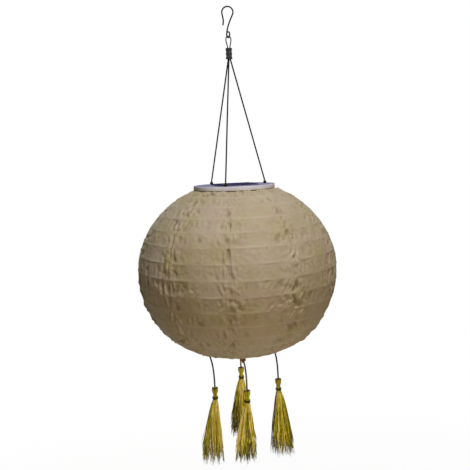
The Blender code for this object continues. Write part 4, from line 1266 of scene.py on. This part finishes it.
    def standoff(self, down: float, radius: float) -> float:
        """Return how far the cloth stands off the hoops at a count of hoops from the top, in metres."""
        level = down / (len(self.hoops) - 1)
        billow = self.billow_mm * math.sqrt(max(0.0, math.sin(math.pi * level)))
        sag = self.sag_mm * math.exp(-((level - self.sag_level) / self.sag_half) ** 2)
        ending = min(1.0, (1.0 - level) / self.sag_end)
        return (self.lift_mm + billow + sag * ending) * MM + self.slack_share * radius

    def outline(self) -> list[tuple[Vector, Vector, int, float]]:
        """Return the skin's outline from the top hem to the bottom hem.

        Returns:
            For each row its place, its outward direction, the number of the hoop above and its share of the
            bay.
        """
        normals = self.normals()
        rows = []
        for bay in range(len(self.hoops) - 1):
            for row in range(self.rows + (bay == len(self.hoops) - 2)):
                share = row / self.rows
                out = normals[bay].lerp(normals[bay + 1], share).normalized()
                rows.append((self.hoops[bay].lerp(self.hoops[bay + 1], share), out, bay, share))
        return rows

    def hem(self, hoop: Vector, out: Vector, inward: float) -> list[Vector]:
        """Return the points of the cloth's hem, rolled round an end hoop to its inner side."""
        start = math.atan2(out.y, out.x)
        angles = [start + inward * math.radians(turn) for turn in self.hem_turns_deg]
        return [hoop + self.hem_mm * MM * Vector((math.cos(angle), math.sin(angle))) for angle in angles]

    def build_gore(self, number: int) -> None:
        """Make one gore, its hems, wrinkles and attributes, and give its cloth a thickness."""
        rows = self.outline()
        normals = self.normals()
        top = self.hem(self.hoops[0], normals[0], 1.0)[::-1]
        bottom = self.hem(self.hoops[-1], normals[-1], -1.0)
        gore_turn = FULL_TURN / self.gores
        first = math.radians(self.first_seam_deg) + number * gore_turn
        shape = bmesh.new()
        row_mark = shape.verts.layers.int.new("row")
        rib = shape.verts.layers.float.new("rib")
        crease = shape.verts.layers.float.new("crease")
        places = top + [place for place, _, _, _ in rows] + bottom
        corners = []
        for mark, place in enumerate(places):
            corner = shape.verts.new(polar(place.x, first, place.y))
            corner[row_mark] = mark
            corners.append(corner)
        edges = [shape.edges.new(pair) for pair in zip(corners, corners[1:])]
        bmesh.ops.spin(shape, geom=corners + edges, cent=(0, 0, 0), axis=UP, angle=gore_turn,
                       steps=self.columns)
        for vertex in shape.verts:
            row = vertex[row_mark] - len(top)
            if 0 <= row < len(rows):
                place, out, bay, share = rows[row]
                angle = math.atan2(vertex.co.y, vertex.co.x)
                turn = ((angle - first + math.pi) % FULL_TURN - math.pi) / gore_turn
                # the rib share is painted paler in the finish, as wear and a painted highlight
                offset, vertex[rib], vertex[crease] = self.relief(number, bay, share, turn, vertex.co.copy())
                moved = place + (self.standoff(bay + share, place.x) + offset) * out
                vertex.co = polar(moved.x, angle, moved.y)
        bmesh.ops.recalc_face_normals(shape, faces=shape.faces)
        # the order of spun faces changes from run to run, so the face to judge by is chosen by its place
        widest = max(shape.faces, key=lambda face: face.calc_center_median().xy.length)
        if widest.normal.dot(polar(1.0, first + gore_turn / 2)) < 0:
            bmesh.ops.reverse_faces(shape, faces=shape.faces)
        self.lay_weave(shape, places, first + gore_turn / 2)
        made = Piece(f"cloth_gore_{number + 1}", KHAKI_NYLON, "hanger", Slot.FABRIC, ("fabric_cover",), 180.0)
        gore = made.make(shape)
        wall = gore.modifiers.new("cloth", "SOLIDIFY")
        wall.thickness = self.cloth_mm * MM
        wall.offset = -1.0
        self.fold_with_hoops(gore)

    def lay_weave(self, shape: bmesh.types.BMesh, places: list[Vector], centre: float) -> None:
        """Lay the weave's directions over a gore, across it and down it, in metres.

        Args:
            shape: The gore, whose points hold their row.
            places: The outline's points, one for each row.
            centre: Angle of the gore's middle line.
        """
        row_mark = shape.verts.layers.int["row"]
        lengths = distances(places)
        weave = shape.loops.layers.uv.new("weave")
        for face in shape.faces:
            for loop in face.loops:
                angle = math.atan2(loop.vert.co.y, loop.vert.co.x)
                turn = (angle - centre + math.pi) % FULL_TURN - math.pi
                width = Vector((loop.vert.co.x, loop.vert.co.y)).length
                loop[weave].uv = (turn * width, lengths[loop.vert[row_mark]])

    def fold_with_hoops(self, gore: bpy.types.Object) -> None:
        """Give a gore a mesh of its own."""
        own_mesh(gore)


@dataclass
class Tassel:
    """One tassel: knot on the bottom hoop, twisted cord, thread-covered head, binding and skirt of strands.

    Attributes:
        number: The tassel's number.
        lean_mm: Sideways drift of the skirt's tips, along X and Y.
        cord_finish: Finish of the cord and its knot.
        knot_size_mm: Half the pitch of the knot's turns.
        tone: Middle tone of its strands, from 0, brown, to 1, straw.
        fullness: How wide the skirt hangs at its tips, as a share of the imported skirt.
        cord_mm: Width of the cord.
        cord_lay_mm: Length of one turn of its two plies.
        ply_depth: Depth between the plies, as a share of the radius.
        knot_mm: Length of plumb cord below the hoop.
        knot_drop_mm: Depth of the knot's middle below the hoop.
        knot_cord_share: Width of the cord in the knot, as a share of its free width.
        loop_mm: Radius of the loop round the hoop.
        loop_half_deg: Half the angle that the loop covers.
        barrel_mm: Height of the head's barrel.
        neck_mm: Radius of the head's neck.
        shoulder_mm: Height of the head's rounded shoulder.
        flat_share: Radius of the head's flat top, as a share of the head's.
        barrel_taper: Width of the barrel at its top, and what it loses on the way down.
        bulge_start: Where on its arc the barrel's bulge starts.
        head_threads: Number of threads that show round the head.
        head_thread_mm: Height of one of them.
        head_twist: Turn of the threads in radians for each metre down.
        rim_mm: Depth of the dark rim round the head's top.
        head_tones: Middle tone of the head, how far its threads differ from it and how dark its rim is.
        wound_mm: Width of the binding's thread.
        wound_steps: Steps of one of its turns.
        wound_sway_mm: How far a turn wanders.
        strands: Number of strands in the skirt.
        strand_mm: Width of a strand, which is a few threads twisted together.
        strand_steps: Steps along a strand.
        root_mm: Radius within which the strands leave the binding.
        locks: Number of locks that the strands fall into.
        lock_reach: Least place of a lock from the middle, and what the draw adds, as shares of the reach.
        lock_spread: How far at most a strand leaves its lock, 0 to 1.
        lock_tone: How far a lock's tone may be from the tassel's.
        strand_tone: How far a strand's tone commonly is from its lock's.
        wave_mm: How far a strand waves.
        ragged: Share of the skirt's length by which strands differ.
        trim: Length of the longest strand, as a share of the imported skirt's.
        tip_start: Where a strand's dark tip starts, as a share of its length.
    """

    number: int
    lean_mm: tuple[float, float] = (0.0, 0.0)
    cord_finish: Finish = GREEN_CORD
    knot_size_mm: float = 0.82
    tone: float = 0.5
    fullness: float = 1.0
    cord_mm: float = 2.8
    cord_lay_mm: float = 6.5
    ply_depth: float = 0.22
    knot_mm: float = 4.0
    knot_drop_mm: float = 5.2
    knot_cord_share: float = 0.75
    loop_mm: float = 2.3
    loop_half_deg: float = 150.0
    barrel_mm: float = 14.5
    neck_mm: float = 2.9
    shoulder_mm: float = 0.6
    flat_share: float = 0.55
    barrel_taper: tuple[float, float] = (0.98, 0.38)
    bulge_start: float = 0.3
    head_threads: int = 33
    head_thread_mm: float = 0.22
    head_twist: float = 8.0
    rim_mm: float = 1.5
    head_tones: tuple[float, float, float] = (0.34, 0.5, 0.4)
    wound_mm: float = 1.0
    wound_steps: int = 26
    wound_sway_mm: float = 0.1
    strands: int = 340
    strand_mm: float = 0.95
    strand_steps: int = 11
    root_mm: float = 3.6
    locks: int = 20
    lock_reach: tuple[float, float] = (0.45, 0.7)
    lock_spread: float = 0.6
    lock_tone: float = 0.45
    strand_tone: float = 0.22
    wave_mm: float = 1.2
    ragged: float = 0.26
    trim: float = 0.97
    tip_start: float = 0.72

    def build(self) -> None:
        """Make the tassel from its knot down."""
        self.body = f"tassel_{self.number}"
        self.draws = random.Random(40 + self.number)
        self.build_cord()
        self.build_knot()
        self.build_head()
        self.build_binding()
        self.build_skirt()

    def hoop_place(self) -> Vector:
        """Return the point of the bottom hoop's centreline that the tassel hangs from."""
        swing = next(joint for joint in frame["joints"] if joint["name"] == f"tassel_{self.number}_swing")
        return Vector(swing["pos_m"])

    def cord_route(self) -> list[Vector]:
        """Return the cord's centreline, plumb below its knot and again above the head."""
        low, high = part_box(f"tassel_cord_{self.number}")
        hoop, head = self.hoop_place(), middle(f"tassel_head_{self.number}")
        top, end = Vector((hoop.x, hoop.y, high.z)), Vector((head.x, head.y, low.z))
        knot = top - self.knot_mm * MM * UP
        drift = Vector((end.x - top.x, end.y - top.y, 0.0))
        first = knot.lerp(end, 0.15) + drift / 2
        second = Vector((end.x, end.y, (top.z + end.z) / 2))
        return [top, knot] + bezier(knot, first, second, end, 32)

    def build_cord(self) -> None:
        path = resample(self.cord_route(), 0.5 * MM)
        strand = Strand(self.cord_mm * MM, sides=16, lobes=2, lobe_depth=self.ply_depth,
                        lay=self.cord_lay_mm * MM)
        cord = strand.piece(Piece(f"twisted_cord_{self.number}", self.cord_finish, self.body, Slot.CORD,
                                  (f"tassel_cord_{self.number}",)), path)

    def build_knot(self) -> None:
        """Make the loop round the bottom hoop and the overhand knot below it."""
        top = self.hoop_place()
        out = Vector((top.x, top.y, 0.0)).normalized()
        half = math.radians(self.loop_half_deg)
        loop = arc(top, UP, out, self.loop_mm * MM, -half, half, 28)
        size = self.knot_size_mm * MM
        centre = top - self.knot_drop_mm * MM * UP
        side = out.cross(UP)
        knot = []
        for turn in (FULL_TURN * i / 60 for i in range(61)):
            across = math.sin(turn) + 2 * math.sin(2 * turn)
            rise = math.cos(turn) - 2 * math.cos(2 * turn)
            knot.append(centre + size * (across * side + rise * UP - math.sin(3 * turn) * out))
        strand = Strand(self.knot_cord_share * self.cord_mm * MM, sides=10)
        strand.piece(Piece(f"hoop_knot_{self.number}", self.cord_finish, self.body, Slot.CORD), loop, knot)

    def head_profile(self, low: float, high: float, wide: float) -> list[tuple[float, float]]:
        """Return the head's outline from the middle of its top to that of its neck."""
        barrel, neck, shoulder = (size * MM for size in (self.barrel_mm, self.neck_mm, self.shoulder_mm))
        profile = [(0.0, high), (self.flat_share * wide, high)]
        steps = 17
        for share in (step / steps for step in range(steps + 1)):
            on_arc = min(1.0, share + self.bulge_start) / (1.0 + self.bulge_start)
            taper = self.barrel_taper[0] - self.barrel_taper[1] * share
            radius = wide * taper * math.sin(math.pi * on_arc) ** 0.5
            profile.append((max(neck, radius), high - shoulder - (barrel - shoulder) * share))
        return profile + [(neck, low), (0.0, low)]

    def build_head(self) -> None:
        """Make the head: a barrel of threads that run down over it, with a tucked-in neck."""
        low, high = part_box(f"tassel_head_{self.number}")
        centre = (low + high) / 2
        wide = (high.x - low.x) / 2
        shape = spun(self.head_profile(low.z, high.z, wide), 4 * self.head_threads)
        tone = shape.verts.layers.float.new("tone")
        base, differing, darkness = self.head_tones
        for vertex in shape.verts:
            radius = Vector((vertex.co.x, vertex.co.y)).length
            around, drop = math.atan2(vertex.co.y, vertex.co.x), high.z - vertex.co.z
            thread = self.head_threads * (around + self.head_twist * drop)
            if radius > 0.2 * wide:
                vertex.co += polar(self.head_thread_mm * MM * math.cos(thread), around)
            drawn = noise.noise(Vector((math.floor(thread / FULL_TURN) * 1.7, self.number * 5.1, 0.0)))
            rim = math.exp(-(drop / self.rim_mm / MM) ** 2)
            vertex[tone] = base + differing * drawn - darkness * rim
        bmesh.ops.translate(shape, verts=shape.verts, vec=(centre.x, centre.y, 0.0))
        Piece(f"thread_head_{self.number}", GOLD_THREAD, self.body, Slot.THREAD,
              (f"tassel_head_{self.number}",)).make(shape)

    def build_binding(self) -> None:
        """Make the binding: a thread wound round the neck."""
        low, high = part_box(f"tassel_binding_{self.number}")
        centre = (low + high) / 2
        thread = self.wound_mm * MM
        radius = (high.x - low.x) / 2 - thread / 2
        count = self.wound_steps * int((high.z - low.z) / thread)
        drop = high.z - low.z - thread
        path = []
        for step in range(count + 1):
            turns = step / self.wound_steps
            sway = self.wound_sway_mm * MM * math.sin(2.7 * turns)
            place = polar(radius + sway, FULL_TURN * turns, high.z - thread / 2 - drop * step / count)
            path.append(place + Vector((centre.x, centre.y, 0.0)))
        strand = Strand(1.04 * thread, sides=10, lobes=2, lobe_depth=0.2, lay=3.0 * MM)
        strand.piece(Piece(f"wound_binding_{self.number}", OLIVE_THREAD, self.body, Slot.CORD,
                           (f"tassel_binding_{self.number}",)), path)

    def strand_path(self, top: Vector, length: float, reach: float,
                    lock: tuple[float, float]) -> list[Vector]:
        """Work out one strand of the skirt.

        Args:
            top: Middle of the skirt's top.
            length: The skirt's length.
            reach: Radius of the skirt at its tips.
            lock: Radius share and angle of the lock that the strand falls into.

        Returns:
            Points from the binding to the strand's tip.
        """
        draws = self.draws
        root_radius = self.root_mm * MM * math.sqrt(draws.random())
        root_angle = draws.uniform(0.0, FULL_TURN)
        spread = self.lock_spread * draws.random() ** 1.6
        own = length * (self.trim - self.ragged * draws.random() ** 1.5)
        phase, rate = draws.uniform(0.0, FULL_TURN), draws.uniform(2.0, 5.0)
        lock_place = polar(reach * lock[0], lock[1])
        loose_place = polar(reach * math.sqrt(draws.random()), root_angle + draws.uniform(-0.6, 0.6))
        goal = lock_place.lerp(loose_place, spread) + Vector((*self.lean_mm, 0.0)) * MM
        start = polar(root_radius, root_angle)
        points = []
        for step in range(self.strand_steps + 1):
            share = step / self.strand_steps
            flare = share ** 0.7
            wave = self.wave_mm * MM * share * math.sin(phase + rate * FULL_TURN * share / 2)
            side = start.lerp(goal, flare) + polar(wave, root_angle + math.pi / 2)
            points.append(top + side - own * share * UP)
        return points

    def build_skirt(self) -> None:
        """Make the skirt: hundreds of strands of mixed tones that fall into ragged locks."""
        low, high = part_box(f"tassel_skirt_{self.number}")
        top = Vector(((low.x + high.x) / 2, (low.y + high.y) / 2, high.z + 0.5 * MM))
        reach = self.fullness * (high.x - low.x) / 2
        length = top.z - low.z
        draws = self.draws
        least, more = self.lock_reach
        locks = [(least + more * math.sqrt(draws.random()), FULL_TURN * (i + draws.random()) / self.locks)
                 for i in range(self.locks)]
        lock_tones = [self.tone + draws.uniform(-self.lock_tone, self.lock_tone) for _ in locks]
        strand = Strand(self.strand_mm * MM, sides=4)
        last = self.strand_steps
        taper = [1.0] * (last - 1) + [0.8, 0.35]
        parts = []
        for _ in range(self.strands):
            lock = draws.randrange(self.locks)
            path = self.strand_path(top, length, reach, locks[lock])
            shade = unit(lock_tones[lock] + draws.gauss(0.0, self.strand_tone))
            part = strand.tube(path, taper)
            ring = part.verts.layers.int["ring"]
            tone = part.verts.layers.float.new("tone")
            tip = part.verts.layers.float.new("tip")
            for vertex in part.verts:
                share = vertex[ring] / last
                # strands are painted paler near the binding: a painted highlight on the skirt's top
                vertex[tone] = shade + 0.25 * max(0.0, 1.0 - 3.0 * share)
                vertex[tip] = max(0.0, (share - self.tip_start) / (1.0 - self.tip_start)) ** 1.5
            parts.append(part)
        Piece(f"strand_skirt_{self.number}", GOLD_THREAD, self.body, Slot.THREAD,
              (f"tassel_skirt_{self.number}",), 120.0).make(gathered(parts))


@dataclass(frozen=True)
class Lamp:
    """One soft lamp of the studio.

    Attributes:
        name: The lamp's name.
        place: Where it stands, in metres.
        width: Width of its bright face, in metres.
        power: Its power in watts.
        colour: Its colour, sRGB hex.
        cone_deg: Width of a spotlight's cone, or 0 for a flat lamp.
        cone_blend: Softness of that cone's edge.
    """

    name: str
    place: tuple[float, float, float]
    width: float
    power: float
    colour: str
    cone_deg: float = 0.0
    cone_blend: float = 0.7

    def build(self, target: Vector) -> None:
        """Make the lamp and face it to a target."""
        light = bpy.data.lights.new(self.name, "SPOT" if self.cone_deg else "AREA")
        light.color = linear(self.colour)[:3]
        light.energy = self.power
        if self.cone_deg:
            light.shadow_soft_size = self.width / 2
            light.spot_size = math.radians(self.cone_deg)
            light.spot_blend = self.cone_blend
        else:
            light.size = self.width
        lamp = bpy.data.objects.new(self.name, light)
        place = Vector(self.place)
        facing = (target - place).to_track_quat("-Z", "Y").to_matrix().to_4x4()
        lamp.matrix_world = Matrix.Translation(place) @ facing
        bpy.context.scene.collection.objects.link(lamp)


# Cool light from above the front, which draws the folds and the cap.
KEY_LAMP = Lamp("key_lamp", (0.21, -0.72, 1.17), 0.35, 33.0, "#E4EBFF")
# Weak warm light from the front, which lifts the lower half of the body.
LOW_LAMP = Lamp("low_lamp", (0.36, -1.4, -0.30), 0.35, 5.9, "#FFE6C4")
# Wide light from behind, so that the back shows when the lantern is turned.
BACK_LAMP = Lamp("back_lamp", (-0.3, 1.6, -0.45), 0.8, 24.0, "#FFF6EA")
# Narrow light that falls on the tassels alone.
TASSEL_LAMP = Lamp("tassel_lamp", (0.35, -1.4, -0.45), 0.2, 29.0, "#FFF6EA", 13.0)


@dataclass
class Studio:
    """Camera, lamps, white surroundings and a pale floor.

    Attributes:
        eye_mm: The camera's place.
        pitch_deg: How far it looks down.
        yaw_deg: How far it looks to the right.
        roll_deg: How far it leans.
        focal_px: Focal length in pixels of the picture.
        picture_px: Width of the picture in pixels.
        ambient: Strength of the light that the surroundings give.
        ambient_colour: Colour of that light, sRGB hex.
        floor_drop_mm: Depth of the floor below the lowest strand.
        floor_radius_mm: Radius of the floor.
        floor_paint: Colour of the floor where light and shadow fall on it, sRGB hex.
        fade_mm: Distances from the axis between which the floor fades into the surroundings.
        fade_start: Share of white that the floor has before it fades.
    """

    eye_mm: tuple[float, float, float] = (0.7, -1100.0, -209.6)
    pitch_deg: float = 6.85
    yaw_deg: float = -0.12
    roll_deg: float = -2.25
    focal_px: float = 717.0
    picture_px: float = 470.0
    ambient: float = 0.035
    ambient_colour: str = "#FFC986"
    floor_drop_mm: float = 320.0
    floor_radius_mm: float = 2600.0
    floor_paint: str = "#C3C1BC"
    fade_mm: tuple[float, float] = (200.0, 1200.0)
    fade_start: float = 0.9

    def build(self) -> None:
        """Make the studio."""
        self.build_camera()
        self.build_world()
        self.build_floor()
        target = Vector((0.0, 0.0, (CAD_BOX[0].z + CAD_BOX[1].z) / 2))
        tassels = Vector((0.0, 0.0, (CAD_BOX[0].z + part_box("bottom_hoop")[0].z) / 2))
        for lamp in (KEY_LAMP, LOW_LAMP, BACK_LAMP):
            lamp.build(target)
        TASSEL_LAMP.build(tassels)
        bpy.context.scene.view_settings.view_transform = "Standard"
        LOG.info("studio: camera, four lamps and a floor")

    def build_camera(self) -> None:
        """Make the camera where the photograph was taken from."""
        pitch, yaw, roll = (math.radians(a) for a in (self.pitch_deg, self.yaw_deg, self.roll_deg))
        forward = Vector((math.sin(yaw) * math.cos(pitch), math.cos(yaw) * math.cos(pitch), -math.sin(pitch)))
        right = Vector((math.cos(yaw), -math.sin(yaw), 0.0))
        over = right.cross(forward)
        axis_x = math.cos(roll) * right + math.sin(roll) * over
        axis_y = math.cos(roll) * over - math.sin(roll) * right
        lens = bpy.data.cameras.new("camera")
        lens.lens = lens.sensor_width * self.focal_px / self.picture_px
        camera = bpy.data.objects.new("camera", lens)
        bpy.context.scene.collection.objects.link(camera)
        turned = Matrix((axis_x, axis_y, -forward)).transposed().to_4x4()
        camera.matrix_world = Matrix.Translation(Vector(self.eye_mm) * MM) @ turned
        bpy.context.scene.camera = camera

    def seen(self, tree: bpy.types.NodeTree) -> bpy.types.NodeSocket:
        """Return a factor of 1 on rays that show the surroundings: camera, mirror and glass rays."""
        ray = add_node(tree, "ShaderNodeLightPath")
        first = add_node(tree, "ShaderNodeMath", {"operation": "MAXIMUM"}, {
            0: ray.outputs["Is Camera Ray"], 1: ray.outputs["Is Glossy Ray"]})
        return add_node(tree, "ShaderNodeMath", {"operation": "MAXIMUM"}, {
            0: first.outputs[0], 1: ray.outputs["Is Transmission Ray"]}).outputs[0]

    def build_world(self) -> None:
        """Make plain white surroundings that give only a soft light."""
        world = bpy.data.worlds.new("white_surroundings")
        world.use_nodes = True
        tree = world.node_tree
        tree.nodes.clear()
        lit = add_node(tree, "ShaderNodeBackground", {
            "Color": linear(self.ambient_colour), "Strength": self.ambient})
        shown = add_node(tree, "ShaderNodeBackground", {"Color": linear("#FFFFFF"), "Strength": 1.0})
        mixed = add_node(tree, "ShaderNodeMixShader", links={
            0: self.seen(tree), 1: lit.outputs[0], 2: shown.outputs[0]})
        add_node(tree, "ShaderNodeOutputWorld", links={"Surface": mixed.outputs[0]})
        bpy.context.scene.world = world

    def build_floor(self) -> None:
        """Make a pale floor that fades into the surroundings, keeps a shadow and is clear from below."""
        shape = bmesh.new()
        place = Matrix.Translation((0.0, 0.0, CAD_BOX[0].z - self.floor_drop_mm * MM))
        bmesh.ops.create_circle(shape, cap_ends=True, segments=96, radius=self.floor_radius_mm * MM,
                                matrix=place)
        mesh = bpy.data.meshes.new("floor")
        shape.to_mesh(mesh)
        shape.free()
        floor = bpy.data.objects.new("floor", mesh)
        bpy.context.scene.collection.objects.link(floor)
        mesh.materials.append(self.floor_material())

    def floor_material(self) -> bpy.types.Material:
        """Return matt white floor paint, which shows a soft shadow and turns plain white farther off."""
        material = bpy.data.materials.new("matt_white_floor_paint")
        material.use_nodes = True
        tree = material.node_tree
        tree.nodes.clear()
        spot = add_node(tree, "ShaderNodeTexCoord").outputs["Object"]
        level = {"operation": "MULTIPLY", 1: (1.0, 1.0, 0.0)}
        flat = add_node(tree, "ShaderNodeVectorMath", level, {0: spot})
        away = add_node(tree, "ShaderNodeVectorMath", {"operation": "LENGTH"}, {0: flat.outputs[0]})
        near, far = (distance * MM for distance in self.fade_mm)
        fade = add_node(tree, "ShaderNodeMapRange", {
            "From Min": near, "From Max": far, "To Min": self.fade_start, "To Max": 1.0}, {
            "Value": away.outputs["Value"]})
        share = add_node(tree, "ShaderNodeMath", {"operation": "MULTIPLY"}, {
            0: fade.outputs["Result"], 1: self.seen(tree)})
        paint = add_node(tree, "ShaderNodeBsdfDiffuse", {"Color": linear(self.floor_paint)})
        white = add_node(tree, "ShaderNodeEmission", {"Color": linear("#FFFFFF"), "Strength": 1.0})
        mixed = add_node(tree, "ShaderNodeMixShader", links={
            0: share.outputs[0], 1: paint.outputs[0], 2: white.outputs[0]})
        under = add_node(tree, "ShaderNodeNewGeometry").outputs["Backfacing"]
        clear = add_node(tree, "ShaderNodeBsdfTransparent")
        sided = add_node(tree, "ShaderNodeMixShader", links={
            0: under, 1: mixed.outputs[0], 2: clear.outputs[0]})
        add_node(tree, "ShaderNodeOutputMaterial", links={"Surface": sided.outputs[0]})
        return material


def main() -> None:
    """Build the studio and the lantern from the hook down."""
    logging.basicConfig(level=logging.INFO, format="%(name)s: %(message)s")
    Studio().build()
    Hanger().build()
    Cap().build()
    ClothBody().build()
    Tassel(1, (4.0, 0.0), fullness=1.2, trim=1.0).build()
    Tassel(2, (-4.0, 2.0), cord_finish=BROWN_CORD, knot_size_mm=1.1).build()
    Tassel(3, (-7.0, 0.0), tone=0.75, fullness=1.12).build()
    Tassel(4, (-4.5, -1.0), cord_finish=BROWN_CORD, knot_size_mm=1.1, tone=0.55, trim=0.9).build()


if __name__ == "__main__":
    main()
